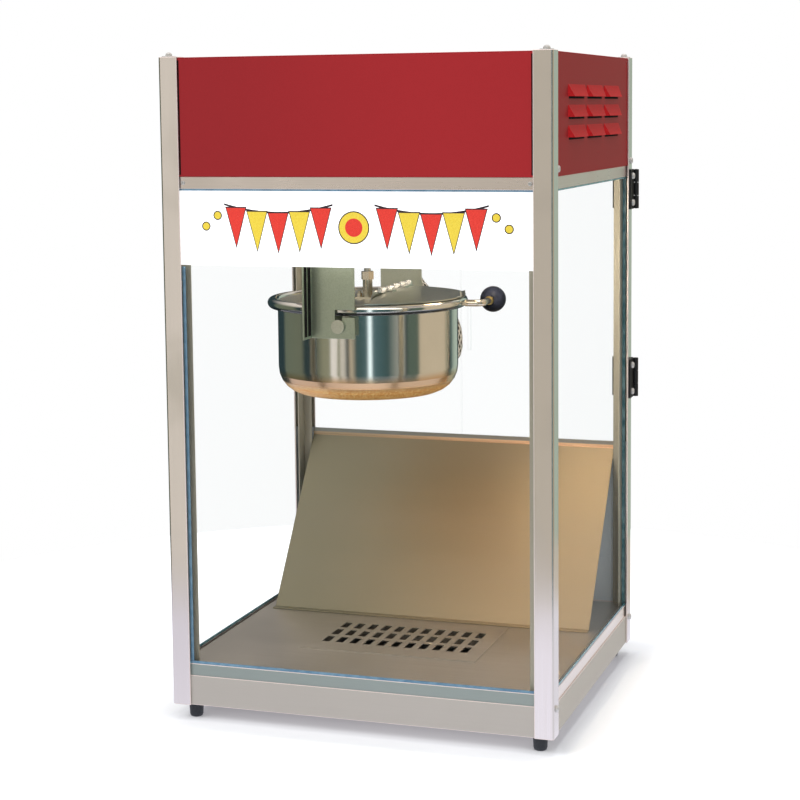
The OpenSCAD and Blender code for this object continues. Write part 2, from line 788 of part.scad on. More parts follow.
module kettle_shell()
    color([0.70, 0.69, 0.65]) at_kettle() difference() {
        union() {
            rotate_extrude($fn = 96) {
                bowl_section(shell_r, shell_round, z_shell, z_rim, 0);
                translate([rim_c, z_rim]) difference() {
                    circle(rim_roll);
                    circle(rim_roll - shell_t);
                }
            }
            for (s = [-1, 1]) translate([pivot_dx, 0, z_pivot]) rotate([s * 90, 0, 0])
                translate([0, 0, boss_start]) cylinder(h = boss_end - boss_start, r = boss_r);
            rotate([0, 0, lead_az]) translate([shell_r - lead_gland_in, 0, z_shell + lead_gland_z])
                rotate([0, 90, 0]) cylinder(h = lead_gland_in + lead_gland_reach, r = lead_r + 2);
        }
        for (s = [-1, 1]) translate([pivot_dx, 0, z_pivot]) rotate([s * 90, 0, 0])
            translate([0, 0, boss_end - stub_len - fit])
                cylinder(h = stub_len + fit + eps, r = stub_r + press);
    }

stub_r = 3;
stub_len = 8;
pivot_head_t = 3.5;

module trunnion_pins()
    color([0.62, 0.60, 0.56]) at_kettle() for (s = [-1, 1])
        translate([pivot_dx, 0, z_pivot]) rotate([s * 90, 0, 0]) {
            translate([0, 0, boss_end - stub_len]) cylinder(h = stub_len + eps, r = stub_r);
            translate([0, 0, boss_end]) cylinder(h = hanger_y + hanger_t + fit - boss_end, r = pivot_r);
            translate([0, 0, hanger_y + hanger_t + fit]) cylinder(h = pivot_head_t, r = pivot_head_r);
        }

// The pan hangs in the shell by its lip, which lies on the shell's edge inside the rolled rim
pan_lip = 1;

module kettle_pan()
    color([0.74, 0.73, 0.70]) at_kettle() rotate_extrude($fn = 96)
        bowl_section(pan_r, shell_round - 4, z_pan, z_lid, pan_lip);

// A ring under the pan, with two thinner cold ends led towards the lead's gland
element_r = 4;
element_end_r = 3;
element_ring_r = 58;
element_end_len = 24;

module heating_element()
    color([0.30, 0.29, 0.28]) at_kettle() translate([0, 0, z_pan - element_r - fit]) {
        rotate_extrude() translate([element_ring_r, 0]) circle(element_r);
        for (a = [-10, 10]) rotate([0, 90, lead_az + a]) translate([0, 0, element_ring_r])
            cylinder(h = element_end_len, r = element_end_r);
    }

// ---- Lid ----

pin_z = z_flap + flap_crown + 3.6;
lid_pin_r = 1.3;
lid_knuckle_r = 3;
lid_pin_x = flap_edge - 1;
knuckle_y = [-48, -24, 0, 24, 48];
knuckle_len = 14;
lid_pin_len = 114;
bar_x = lid_pin_x - lid_knuckle_r;

module lid_knuckle(y)
    translate([lid_pin_x, y + knuckle_len / 2, pin_z]) rotate([90, 0, 0])
        cylinder(h = knuckle_len, r = lid_knuckle_r);

bolt_x = 10.5;
sleeve_top = z_lid + 23;

// The fixed half lies on the pan's lip, and its upstand carries three of the knuckles
module lid_fixed()
    color([0.64, 0.63, 0.59]) at_kettle() difference() {
        union() {
            translate([0, 0, z_lid]) linear_extrude(shell_t) intersection() {
                circle(pan_r - fit, $fn = 96);
                translate([-2 * shell_r, -2 * shell_r])
                    square([2 * shell_r + bar_x + shell_t, 4 * shell_r]);
            }
            translate([bar_x + shell_t, 0, 0]) rotate([90, 0, -90]) linear_extrude(shell_t)
                polygon([[-88, z_lid], [88, z_lid], [70, pin_z], [-70, pin_z]]);
            for (i = [0, 2, 4]) lid_knuckle(knuckle_y[i]);
        }
        translate([lid_pin_x, 2 * lid_pin_len, pin_z]) rotate([90, 0, 0])
            cylinder(h = 4 * lid_pin_len, r = lid_pin_r + press);
        translate([0, 0, z_lid - eps]) cylinder(h = 4 * eps, r = shaft_r + 1);
        for (i = [1, 3]) translate([bar_x - eps, knuckle_y[i] - knuckle_len / 2 - fit, pin_z - 5])
            cube([2 * lid_knuckle_r + 4, knuckle_len + 2 * fit, 12]);
    }

module lid_pin()
    color([0.75, 0.74, 0.72]) at_kettle() translate([lid_pin_x, lid_pin_len / 2, pin_z])
        rotate([90, 0, 0]) cylinder(h = lid_pin_len, r = lid_pin_r);

function crown_z(r) = z_flap + flap_crown * (1 - pow(r / flap_r, 2));

module lid_flap()
    color([0.66, 0.65, 0.61]) at_kettle() difference() {
        union() {
            intersection() {
                rotate_extrude($fn = 96) polygon(concat(
                    [for (i = [0 : 8]) [flap_r * i / 8, crown_z(flap_r * i / 8) + shell_t]],
                    [for (i = [8 : -1 : 0]) [flap_r * i / 8, crown_z(flap_r * i / 8)]]));
                translate([flap_edge, -2 * shell_r, 0]) cube([2 * shell_r, 4 * shell_r, 2 * z_rim]);
            }
            for (i = [1, 3]) {
                lid_knuckle(knuckle_y[i]);
                translate([lid_pin_x, knuckle_y[i] - knuckle_len / 2, pin_z - lid_knuckle_r])
                    cube([8, knuckle_len, shell_t]);
                translate([lid_pin_x + 8 - shell_t, knuckle_y[i] - knuckle_len / 2, pin_z - 5.2])
                    cube([shell_t, knuckle_len, 3.4]);
            }
            translate([flap_r - 8, -8, z_flap + shell_t / 2]) cube([10, 16, shell_t]);
            translate([flap_r + 2 - shell_t, -8, z_flap + shell_t / 2]) cube([shell_t, 16, 7]);
        }
        translate([lid_pin_x, lid_pin_len, pin_z]) rotate([90, 0, 0])
            cylinder(h = 2 * lid_pin_len, r = lid_pin_r + run);
    }

module shaft_bearing()
    color([0.78, 0.74, 0.66]) at_kettle() translate([0, 0, z_lid + shell_t]) difference() {
        union() {
            cylinder(h = sleeve_top - z_lid, r = sleeve_r);
            translate([0, 0, sleeve_top - z_lid]) cylinder(h = 9.5, r = sleeve_r + 2, $fn = 6);
            linear_extrude(2) square([2 * bolt_x + 10, 12], center = true);
            for (s = [-1, 1]) translate([s * bolt_x, 0, 2]) {
                cylinder(h = 4, r = 3.6, $fn = 6);
                cylinder(h = 7, r = 2);
            }
        }
        translate([0, 0, -eps]) cylinder(h = 60, r = shaft_r + run);
    }

blade_z = z_pan + shell_t + 1;
blade_half = 84;
blade_t = 3;
blade_h = 6;
blade_hub = [shaft_r + 4, 14];
paddle_x = 55;
paddle = [24, 10];

module agitator()
    color([0.70, 0.69, 0.66]) at_kettle() {
        translate([0, 0, z_pan + shell_t + fit])
            cylinder(h = z_coupling - 1 - z_pan - shell_t - fit, r = shaft_r);
        intersection() {
            translate([0, 0, z_coupling - 2]) cylinder(h = z_tongue - z_coupling + 2, r = shaft_r);
            translate([-shaft_r, -tongue_t / 2, z_coupling - 2])
                cube([2 * shaft_r, tongue_t, z_tongue - z_coupling + 2]);
        }
        translate([0, 0, blade_z]) {
            cylinder(h = blade_hub[1], r = blade_hub[0]);
            translate([-blade_half, -blade_t / 2, 0]) cube([2 * blade_half, blade_t, blade_h]);
            for (s = [-1, 1]) translate([s * paddle_x - blade_t / 2, -paddle[0] / 2, 0])
                cube([blade_t, paddle[0], paddle[1]]);
        }
    }

// ---- Handle ----

rod_r = 4;
rod_bend = 10;
rod_in = 8;
knob_flat = 1.5;
knob_flat_a = -asin(1 - knob_flat / knob_r);
knob_x = rim_r + handle_reach;

module handle_rod()
    color([0.75, 0.70, 0.60]) at_kettle() translate([0, 0, z_rim]) {
        difference() {
            translate([rim_c, -9, -2]) cube([rim_roll + 6, 18, 4]);
            translate([0, 0, -10]) cylinder(h = 20, r = rim_r + fit, $fn = 96);
        }
        translate([rim_r + 2, 0, 0]) rotate([0, 90, 0])
            cylinder(h = handle_reach - 2 - rod_bend, r = rod_r);
        translate([knob_x - rod_bend, rod_bend, 0]) rotate([0, 0, -90]) rotate_extrude(angle = 90)
            translate([rod_bend, 0]) circle(rod_r);
        translate([knob_x, rod_bend, 0]) rotate([-90, 0, 0])
            cylinder(h = handle_back - knob_r + rod_in - rod_bend, r = rod_r);
        translate([knob_x, handle_back - knob_r + knob_flat - 5, 0]) rotate([-90, 0, 0])
            cylinder(h = 5 - fit, r = rod_r + 1.2);
    }

// A ball turned about the rod's axis, with a flat where the rod goes in
module ball_knob()
    color([0.05, 0.05, 0.06]) at_kettle() translate([knob_x, handle_back, z_rim])
        rotate([-90, 0, 0]) difference() {
            rotate_extrude() polygon(concat(
                [[0, knob_flat - knob_r]],
                [for (a = [knob_flat_a : 7.5 : 82.5]) knob_r * [cos(a), sin(a)]],
                [[0, knob_r]]));
            translate([0, 0, -knob_r - eps]) cylinder(h = eps + rod_in + fit, r = rod_r + press);
        }

// ---- Kettle lead ----

function along(i) =
    let (n = len(lead_route), a = lead_route[max(i - 1, 0)], b = lead_route[min(i + 1, n - 1)])
    (b - a) / norm(b - a);
function lead_side(i) = let (c = cross(along(i), [0.6, -0.8, 0])) c / norm(c);
function lead_ring(i) = let (u = lead_side(i), w = cross(along(i), u))
    [for (k = [0 : lead_sides - 1])
        lead_route[i] + lead_r * (cos(360 * k / lead_sides) * u + sin(360 * k / lead_sides) * w)];

module kettle_lead()
    color([0.45, 0.45, 0.44]) in_cabinet() {
        n = len(lead_route);
        points = [for (i = [0 : n - 1]) each lead_ring(i)];
        sides = [for (i = [0 : n - 2], k = [0 : lead_sides - 1])
            let (a = i * lead_sides + k, b = i * lead_sides + (k + 1) % lead_sides)
            [a, b, b + lead_sides, a + lead_sides]];
        ends = [[for (k = [lead_sides - 1 : -1 : 0]) k],
                [for (k = [0 : lead_sides - 1]) (n - 1) * lead_sides + k]];
        polyhedron(points, concat(sides, ends));
    }

receptacle = [28, 24, 21];

module lead_receptacle()
    color([0.12, 0.12, 0.13]) in_cabinet()
        translate([lead_top[0] - receptacle[0] / 2, lead_top[1] - 11, z_ceiling - receptacle[2]])
            cube(receptacle);

// ---- Lamp ----

cap_r = 12.8;
socket_h = 28;

module lamp_socket()
    color([0.90, 0.89, 0.86]) in_cabinet() translate([lamp_x, 0, z_ceiling - socket_h]) difference() {
        cylinder(h = socket_h, r = cap_r + 4);
        translate([0, 0, -eps]) cylinder(h = 20 + eps, r = cap_r + fit);
    }

module bulb()
    color([0.97, 0.95, 0.88]) in_cabinet() translate([lamp_x, 0, z_ceiling - socket_h]) {
        throat = asin((cap_r - 1) / bulb_r);
        translate([0, 0, -6]) cylinder(h = 24, r = cap_r);
        translate([0, 0, -6 - bulb_r * cos(throat)]) rotate_extrude()
            polygon(concat([[0, -bulb_r]],
                           [for (i = [1 : 12]) let (a = -90 + i * (180 - throat) / 12)
                               [bulb_r * cos(a), bulb_r * sin(a)]],
                           [[0, bulb_r * cos(throat)]]));
    }

// ---- Cord gland and switches ----

gland_in = 12;
gland_out = 6;
gland_nut = [gland_r + 3.5, 4];

module cord_gland()
    color([0.08, 0.08, 0.09]) in_cabinet() translate([gland_x, in_y, z_gland]) rotate([-90, 0, 0])
        difference() {
            union() {
                translate([0, 0, -gland_in]) cylinder(h = gland_in + gland_out, r = gland_r);
                cylinder(h = gland_nut[1], r = gland_nut[0], $fn = 6);
                translate([0, 0, -sheet_t - gland_nut[1]])
                    cylinder(h = gland_nut[1], r = gland_nut[0], $fn = 6);
            }
            translate([0, 0, -2 * gland_in]) cylinder(h = 4 * gland_in, r = gland_bore_r);
        }

module switch_frames()
    color([0.08, 0.08, 0.09]) in_cabinet() for (x = switch_x) translate([x, in_y, z_switch])
        difference() {
            union() {
                translate([-switch_w / 2, 0, -switch_h / 2]) cube([switch_w, 1.6, switch_h]);
                translate([-switch_w / 2 + frame_lip + 0.1, -frame_deep, -switch_h / 2 + frame_lip + 0.1])
                    cube([switch_w - 2 * frame_lip - 0.2, frame_deep + 0.2,
                          switch_h - 2 * frame_lip - 0.2]);
            }
            translate([-switch_w / 2 + 2 * frame_lip, -frame_deep + 2, -switch_h / 2 + 2 * frame_lip])
                cube([switch_w - 4 * frame_lip, frame_deep + 2, switch_h - 4 * frame_lip]);
        }

rocker_hub = 5;

// A rocker, resting tipped to one side about its pin
module rocker(i)
    color([0.12, 0.12, 0.13]) in_cabinet() translate([switch_x[i], in_y - 3, z_switch]) {
        w = switch_w - 4 * frame_lip - 2 * fit;
        h = switch_h / 2 - 2 * frame_lip - 1.2;
        rotate([-rocker_tilt, 0, 0]) translate([-w / 2, 0, 0]) rotate([90, 0, 90]) linear_extrude(w)
            union() {
                circle(rocker_hub, $fn = 32);
                polygon([[-2, -h], [4 + h * tan(rocker_tilt), -h], [4, 0],
                         [4 + h * tan(rocker_tilt), h], [-2, h]]);
            }
    }

module rocker_light() rocker(0);
module rocker_motor() rocker(1);
module rocker_kettle() rocker(2);

post_front_left();
post_front_right();
post_rear_left();
post_rear_right();
feet();
base_plate();
skirt_front();
skirt_left();
skirt_right();
skirt_rear();
sill_rails();
header_rails();
dome_front();
dome_left();
dome_right();
dome_rear();
dome_lid();
post_nuts();
frame_screws();
ceiling_plate();
glass_front();
glass_left();
glass_right();
glass_angles();
sign_panel();
rear_panel();
ramp();
floor_deck();
sifter_plate();
kernel_drawer();
door_left();
door_right();
hinge_post_leaves();
door_fittings_left();
door_fittings_right();
magnetic_catches();
gear_motor();
drive_coupling();
hanger_front();
hanger_rear();
kettle_shell();
kettle_pan();
heating_element();
trunnion_pins();
lid_fixed();
lid_pin();
lid_flap();
shaft_bearing();
agitator();
handle_rod();
ball_knob();
kettle_lead();
lead_receptacle();
lamp_socket();
bulb();
cord_gland();
switch_frames();
rocker_light();
rocker_motor();
rocker_kettle();
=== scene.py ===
# %% [markdown]
# # Dressing a countertop popcorn maker
# The engineering model already holds every sheet, rail, hinge and screw in its true place. This
# notebook loads it as a fixed frame, then gives each surface its finish, softens the edges of
# folded metal, and adds what only the eye needs: braid, ink, screw slots and light.

# %% Load the frame
import json
import math

import bmesh
import bpy
from mathutils import Matrix, Vector

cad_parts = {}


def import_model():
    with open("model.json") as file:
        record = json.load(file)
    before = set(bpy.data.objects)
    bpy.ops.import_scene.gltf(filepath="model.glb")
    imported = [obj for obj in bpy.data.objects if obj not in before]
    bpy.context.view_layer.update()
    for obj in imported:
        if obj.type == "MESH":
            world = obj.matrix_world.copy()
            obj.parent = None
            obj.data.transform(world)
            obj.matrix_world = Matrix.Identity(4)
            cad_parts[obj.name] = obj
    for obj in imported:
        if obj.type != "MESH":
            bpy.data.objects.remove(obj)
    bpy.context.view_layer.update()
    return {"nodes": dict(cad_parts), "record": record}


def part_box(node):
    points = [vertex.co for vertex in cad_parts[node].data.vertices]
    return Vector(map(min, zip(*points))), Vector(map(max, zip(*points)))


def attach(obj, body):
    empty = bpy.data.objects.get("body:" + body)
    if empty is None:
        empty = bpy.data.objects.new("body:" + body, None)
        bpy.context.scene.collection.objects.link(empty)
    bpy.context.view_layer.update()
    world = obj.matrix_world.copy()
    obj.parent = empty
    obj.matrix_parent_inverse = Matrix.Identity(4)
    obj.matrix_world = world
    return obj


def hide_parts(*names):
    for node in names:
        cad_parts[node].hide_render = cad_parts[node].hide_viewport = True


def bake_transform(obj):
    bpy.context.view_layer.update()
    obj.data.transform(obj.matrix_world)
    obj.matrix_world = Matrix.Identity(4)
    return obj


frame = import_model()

nodes = frame["nodes"]
MM = 0.001

# %% [markdown]
# ## The camera
# The machine is seen from a little right of its front and from just above its middle, through a
# long lens, so that its posts stay almost parallel. The three turns are written as angles, and
# the camera's axes are worked out from them, because that is easier to read than a matrix. A small
# shift of the lens does a part of what tilting would do, and leaves the posts nearly upright.

# %% Camera
YAW, PITCH, ROLL = 18.46, 6.33, -0.58
LENS = 85.05
SHIFT = -0.1025
CAMERA_AT = (0.6937, -2.127, 0.6939)
yaw, pitch, roll = (math.radians(a) for a in (YAW, PITCH, ROLL))
ahead = Vector((-math.sin(yaw) * math.cos(pitch),
                math.cos(yaw) * math.cos(pitch), -math.sin(pitch)))
level = Vector((math.cos(yaw), math.sin(yaw), 0))
over = level.cross(ahead)
right = level * math.cos(roll) + over * math.sin(roll)
up = over * math.cos(roll) - level * math.sin(roll)

camera = bpy.data.objects.new("camera", bpy.data.cameras.new("camera"))
camera.data.lens = LENS
camera.data.shift_y = SHIFT
axes = Matrix((right, up, -ahead)).transposed()
camera.matrix_world = Matrix.Translation(CAMERA_AT) @ axes.to_4x4()
bpy.context.collection.objects.link(camera)
bpy.context.scene.camera = camera
bpy.context.scene.view_settings.view_transform = "Standard"
print("camera looks along", ahead)

# %% [markdown]
# ## Small tools for shader maths
# A material is a graph of nodes. Written node by node it is long and hard to check, so one class
# wraps a socket and lets sums be typed as sums.

# %% Wires
class Wire:
    """One output socket of a recipe, which can be added, scaled or compared."""

    def __init__(self, recipe, socket):
        self.recipe = recipe
        self.socket = socket

    def math(self, operation, *others, swapped=False):
        terms = [*others, self] if swapped else [self, *others]
        return self.recipe.node("ShaderNodeMath", {"operation": operation}, dict(enumerate(terms)))

    def __add__(self, other):
        return self.math("ADD", other)

    def __sub__(self, other):
        return self.math("SUBTRACT", other)

    def __mul__(self, other):
        return self.math("MULTIPLY", other)

    def __truediv__(self, other):
        return self.math("DIVIDE", other)

    def __rsub__(self, other):
        return self.math("SUBTRACT", other, swapped=True)

    def __pow__(self, other):
        return self.math("POWER", other)

    def __gt__(self, other):
        return self.math("GREATER_THAN", other)

    __radd__ = __add__
    __rmul__ = __mul__

    def between(self, low, high):
        """0 below low, 1 above high, and a smooth rise between them."""
        sockets = {"Value": self, "From Min": low, "From Max": high}
        return self.recipe.node("ShaderNodeMapRange", {"interpolation_type": "SMOOTHSTEP"}, sockets)


print("a wire can be added, scaled and compared")

# %% [markdown]
# ## Recipes
# A second class holds a material's graph and adds any other node: its settings go in first, then
# the values or links of its sockets. Noise, blends and bumps are used by nearly every finish, so
# they get short methods of their own. Colours go through a Mix node, as sums would turn them grey.

# %% Recipes
class Recipe:
    """The nodes of one material or world."""

    def __init__(self, owner):
        owner.use_nodes = True
        self.tree = owner.node_tree
        self.tree.nodes.clear()

    def node(self, kind, settings=None, sockets=None, out=0):
        made = self.tree.nodes.new(kind)
        for name, value in (settings or {}).items():
            if name == "stops":
                self.set_stops(made.color_ramp, value)
            else:
                setattr(made, name, value)
        for name, value in (sockets or {}).items():
            if isinstance(value, Wire):
                self.tree.links.new(value.socket, made.inputs[name])
            else:
                made.inputs[name].default_value = value
        return Wire(self, made.outputs[out]) if len(made.outputs) else made

    def set_stops(self, ramp, stops):
        while len(ramp.elements) < len(stops):
            ramp.elements.new(1.0)
        for element, (place, colour) in zip(ramp.elements, stops):
            element.position = place
            element.color = colour

    def place(self, part=None):
        """Where a point of the surface lies in the machine's own metres, or one number of it."""
        where = self.node("ShaderNodeTexCoord", out="Object")
        return where if part is None else self.node("ShaderNodeSeparateXYZ", None, {0: where}, part)

    def noise(self, stretch, detail=2.0):
        """Cloudy noise, with a count of blotches per metre along X, Y and Z."""
        settings = {"operation": "MULTIPLY"}
        scaled = self.node("ShaderNodeVectorMath", settings, {0: self.place(), 1: stretch})
        sockets = {"Vector": scaled, "Scale": 1.0, "Detail": detail}
        return self.node("ShaderNodeTexNoise", None, sockets)

    def blend(self, share, first, second):
        """A colour that goes from first to second as share goes from 0 to 1."""
        settings = {"data_type": "RGBA"}
        return self.node("ShaderNodeMix", settings, {0: share, 6: first, 7: second}, out=2)

    def bump(self, height, strength, depth):
        sockets = {"Height": height, "Strength": strength, "Distance": depth}
        return self.node("ShaderNodeBump", None, sockets)


print("recipes ready")

# %% [markdown]
# ## Tints and finishes
# Colours are easiest to choose as a paint chart gives them, from 0 to 255, but the shader works
# in amounts of light, so one function turns the first into the second. Another makes a finish. It
# is given a build function for what changes over a surface, and plain values for what doesn't.

# %% Tints and finishes
def tint(red, green, blue):
    """A colour written as a paint chart gives it, from 0 to 255, turned into light."""
    parts = [c / 255 for c in (red, green, blue)]
    light = [c / 12.92 if c <= 0.04045 else ((c + 0.055) / 1.055) ** 2.4 for c in parts]
    return (*light, 1.0)


def finish_of(name, build, **fixed):
    """A material whose build function returns what varies, and whose fixed values don't."""
    material = bpy.data.materials.new(name)
    recipe = Recipe(material)
    surface = recipe.node("ShaderNodeBsdfPrincipled", None, {**fixed, **build(recipe)})
    recipe.node("ShaderNodeOutputMaterial", None, {"Surface": surface})
    return material


print("mid grey is", round(tint(128, 128, 128)[0], 3), "of full light")

# %% [markdown]
# ## The kettle's braided lead
# The kettle's heating element is fed by a flexible lead in a braided metal sleeve. It hangs from a
# receptacle in the ceiling. On the machine it swings with the kettle as it tips; here it is fixed
# to the cabinet. Its route has to be the route of the solid model, so those points are repeated
# here, and a smooth curve is laid through them.

# %% The lead's route
LEAD_ROUTE = [
    (15, 97, 385), (20, 104, 385), (24, 109, 389), (26, 112, 398), (26, 113, 409),
    (24, 116, 420), (19, 120, 431), (11, 124, 441), (1, 129, 450), (-11, 134, 458),
    (-23, 139, 467), (-34, 143, 478), (-43, 147, 492), (-49, 149, 509), (-52, 150, 528),
    (-52, 150, 550), (-52, 150, 574), (-52, 150, 600),
]
CABINET_Y = -8 * MM


def smooth_route(points, steps):
    """Points along a curve that passes through every point given."""
    ends = [points[0] * 2 - points[1], *points, points[-1] * 2 - points[-2]]
    path = []
    for i in range(1, len(ends) - 2):
        a, b, c, d = ends[i - 1:i + 3]
        for k in range(steps):
            t = k / steps
            path.append(0.5 * (2 * b + (c - a) * t + (2 * a - 5 * b + 4 * c - d) * t * t
                               + (3 * b - a - 3 * c + d) * t ** 3))
    return path + [points[-1]]


lead_points = [Vector((x * MM, y * MM + CABINET_Y, z * MM)) for x, y, z in LEAD_ROUTE]
lead_path = smooth_route(lead_points, 14)
print("route of", len(lead_path), "points")

# %% [markdown]
# ## A tube along a route
# Blender's curves can be given a round section, but not one whose radius changes on the way round,
# so the rings of the tube are made here. Each ring takes its starting side from the one before and
# only turns it square to the route, which keeps the tube from twisting.

# %% Swept tube
def turns(count):
    """Angles that divide a full turn evenly."""
    return [2 * math.pi * k / count for k in range(count)]


def join_loops(work, low, high):
    """A band of four-sided faces between two closed loops with as many corners."""
    for i, j in zip(range(len(low)), [*range(1, len(low)), 0]):
        work.faces.new((low[i], low[j], high[j], high[i]))


def sweep(path, sides, radius_at):
    """A tube along path; radius_at gives its radius from the distance along it and the angle."""
    work = bmesh.new()
    side = (path[1] - path[0]).cross(Vector((0.6, -0.8, 0))).normalized()
    rings, distance = [], 0.0
    for i, point in enumerate(path):
        along = (path[min(i + 1, len(path) - 1)] - path[max(i - 1, 0)]).normalized()
        side = (side - along * side.dot(along)).normalized()
        other = along.cross(side)
        ring = []
        for angle in turns(sides):
            arm = side * math.cos(angle) + other * math.sin(angle)
            ring.append(work.verts.new(point + arm * radius_at(distance, angle)))
        rings.append(ring)
        if i + 1 < len(path):
            distance += (path[i + 1] - point).length
    for low, high in zip(rings, rings[1:]):
        join_loops(work, low, high)
    work.faces.new(reversed(rings[0]))
    work.faces.new(rings[-1])
    bmesh.ops.recalc_face_normals(work, faces=work.faces)
    mesh = bpy.data.meshes.new("tube")
    work.to_mesh(mesh)
    work.free()
    mesh.shade_smooth()
    return mesh, distance


print("a ring of 8 corners turns by", round(turns(8)[1], 3), "at each")

# %% [markdown]
# ## The lead's braid
# The sleeve is two sets of flat strands that wind in opposite ways. Its skin is raised into those
# strands, which a flat texture would not show in outline: at every point the higher of two winding
# waves gives the radius.

# %% Braided tube
LEAD_R = 4 * MM
LEAD_SIDES = 48
STRANDS = 12
STRAND_PITCH = 11 * MM
STRAND_RISE = 0.4 * MM


def braid_height(distance, angle):
    """Two sets of strands wind in opposite ways, and the nearer one stands proud: from -1 to 1."""
    turn = 2 * math.pi * distance / STRAND_PITCH
    half = STRANDS / 2
    return max(math.cos(half * angle + turn), math.cos(half * angle - turn))


def braid_radius(distance, angle):
    return LEAD_R + STRAND_RISE * (braid_height(distance, angle) - 1)


lead_mesh, lead_length = sweep(lead_path, LEAD_SIDES, braid_radius)
print("lead length", round(lead_length, 4), "m")

# %% [markdown]
# ## The lead's finish
# The gaps between real strands are dark, because dirt and shade gather there. The height of the
# braid is therefore kept on the mesh as an attribute, and the finish reads it as a mask.

# %% Kettle lead
collection = bpy.context.collection
proud = lead_mesh.attributes.new("braid", "FLOAT", "POINT")
walked = 0.0
for i, point in enumerate(lead_path):
    for k, angle in enumerate(turns(LEAD_SIDES)):
        height = braid_height(walked, angle)
        proud.data[i * LEAD_SIDES + k].value = 0.5 + 0.5 * height
    if i + 1 < len(lead_path):
        walked += (lead_path[i + 1] - point).length


def braided(r):
    wires = r.noise((900, 900, 900))
    raised = r.node("ShaderNodeAttribute", {"attribute_name": "braid"}, out="Fac")
    colour = r.blend(raised.between(0.45, 0.95), tint(74, 72, 66), tint(214, 212, 206))
    return {"Base Color": colour, "Roughness": 0.38 + 0.2 * wires,
            "Normal": r.bump(wires, 0.3, 0.1 * MM)}


lead_finish = finish_of("braided_sleeve", braided, Metallic=0.7)
lead = bpy.data.objects.new("braided_lead", lead_mesh)
collection.objects.link(lead)
lead_mesh.materials.append(lead_finish)
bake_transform(lead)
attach(lead, "cabinet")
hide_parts("kettle_lead")
print("braid has", len(lead_mesh.polygons), "faces")

# %% [markdown]
# ## Ground steel
# Nearly everything here is stainless steel, but no two parts have the same surface. Posts and
# rails are ground along their length. The finish is noise stretched along the grain: it moves the
# roughness and a very shallow bump, and larger soft clouds make the handling marks that keep a
# sheet from looking new. A low number in the stretch runs along the grain, a high one across it.

# %% Ground steel
ALONG = 6
UPRIGHT = (1500, 1500, ALONG)
LENGTHWAYS = (ALONG, 700, 700)
DEEPWAYS = (700, ALONG, 700)
SCRATCH = 0.012 * MM


def ground_steel(name, stretch, light, dark, rough):
    """Sheet or rod that was ground in one direction."""
    def build(r):
        grain = r.noise(stretch, detail=3.0)
        clouds = r.noise((9, 9, 9), detail=3.0)
        share = 0.65 * grain.between(0.25, 0.75) + 0.35 * clouds
        colour = r.blend(share, tint(*dark), tint(*light))
        marks = clouds.between(0.45, 0.75)
        return {"Base Color": colour, "Roughness": rough + 0.10 * grain + 0.08 * marks,
                "Normal": r.bump(grain, 0.25, SCRATCH)}
    return finish_of(name, build, Metallic=1.0)


post_steel = ground_steel("post_steel", UPRIGHT, (232, 228, 224), (226, 221, 215), 0.13)
rail_steel_x = ground_steel("rail_steel_long", LENGTHWAYS, (248, 240, 237), (238, 230, 226), 0.22)
rail_steel_y = ground_steel("rail_steel_deep", DEEPWAYS, (255, 235, 231), (246, 224, 220), 0.24)
sill_side = ground_steel("sill_side", DEEPWAYS, (251, 244, 234), (236, 228, 218), 0.24)
deck_steel = ground_steel("deck_steel", (ALONG, 600, 600), (214, 210, 202), (200, 195, 186), 0.34)
lid_steel = ground_steel("lid_steel", (500, ALONG, 500), (226, 226, 216), (212, 212, 200), 0.26)
rod_steel = ground_steel("rod_steel", (900, 900, 900), (240, 230, 212), (226, 214, 194), 0.16)
pin_steel = ground_steel("pin_steel", (500, 500, 500), (214, 216, 200), (198, 200, 184), 0.30)
nickel = ground_steel("nickel", (400, 400, 700), (238, 228, 210), (222, 210, 190), 0.15)
brass = ground_steel("brass", (400, 400, 700), (206, 184, 124), (176, 152, 92), 0.24)
agitator_steel = ground_steel("agitator_steel", (400, 400, 400), (208, 206, 200),
                              (186, 182, 174), 0.26)
print("ground steel made")

# %% [markdown]
# ## Satin and mill sheet
# The skirts, the panels and the turned screws are blasted or rolled to a satin that scatters light
# almost as grey paint does, so only a part of them is treated as metal. The hangers are plain mill
# sheet, which has a fine pebbled grain and no direction. Each row below is one part's tone, but the
# rear panel's near-white inside and the rear hanger's brighter sheet are painted light, lit copies
# of the panel's and the front hanger's steel.

# %% Satin and mill sheet
def satin_sheet(name, stretch, dark=(184, 179, 171), light=(194, 189, 181), metal=0.35):
    """Blasted and rolled steel that scatters light almost as paint does."""
    def build(r):
        grain = r.noise(stretch, detail=3.0)
        clouds = r.noise((6, 6, 6), detail=2.0)
        colour = r.blend(0.5 * grain + 0.5 * clouds, tint(*dark), tint(*light))
        return {"Base Color": colour, "Roughness": 0.52 + 0.08 * grain,
                "Normal": r.bump(grain, 0.2, SCRATCH)}
    return finish_of(name, build, Metallic=metal)


skirt_steel_x = satin_sheet("skirt_steel_long", (ALONG, 600, 600))
skirt_steel_y = satin_sheet("skirt_steel_deep", (600, ALONG, 600), (194, 189, 177), (203, 198, 186))
sill_steel = satin_sheet("sill_steel", (ALONG, 600, 600), (148, 160, 156), (164, 174, 170), 0.5)
angle_steel = satin_sheet("angle_steel", UPRIGHT, (172, 167, 148), (188, 183, 166), 0.4)
panel_steel = satin_sheet("panel_steel", (ALONG, 600, 600), (190, 198, 206), (202, 208, 214), 0.5)
# The rear panel's inside is a lit, near-white copy of its steel: painted light.
lit_panel_inside = satin_sheet("lit_panel_inside", (ALONG, 600, 600), (234, 246, 254), (242, 250, 255), 0.0)
# The pale pink rounds are partly a bare cut and partly a painted highlight.
edge_highlight = satin_sheet("edge_highlight", (300, 300, ALONG), (232, 214, 208), (248, 236, 232), 0.2)
turned_steel = satin_sheet("turned_steel", (400, 400, 400), (212, 212, 210), (238, 238, 236), 0.7)


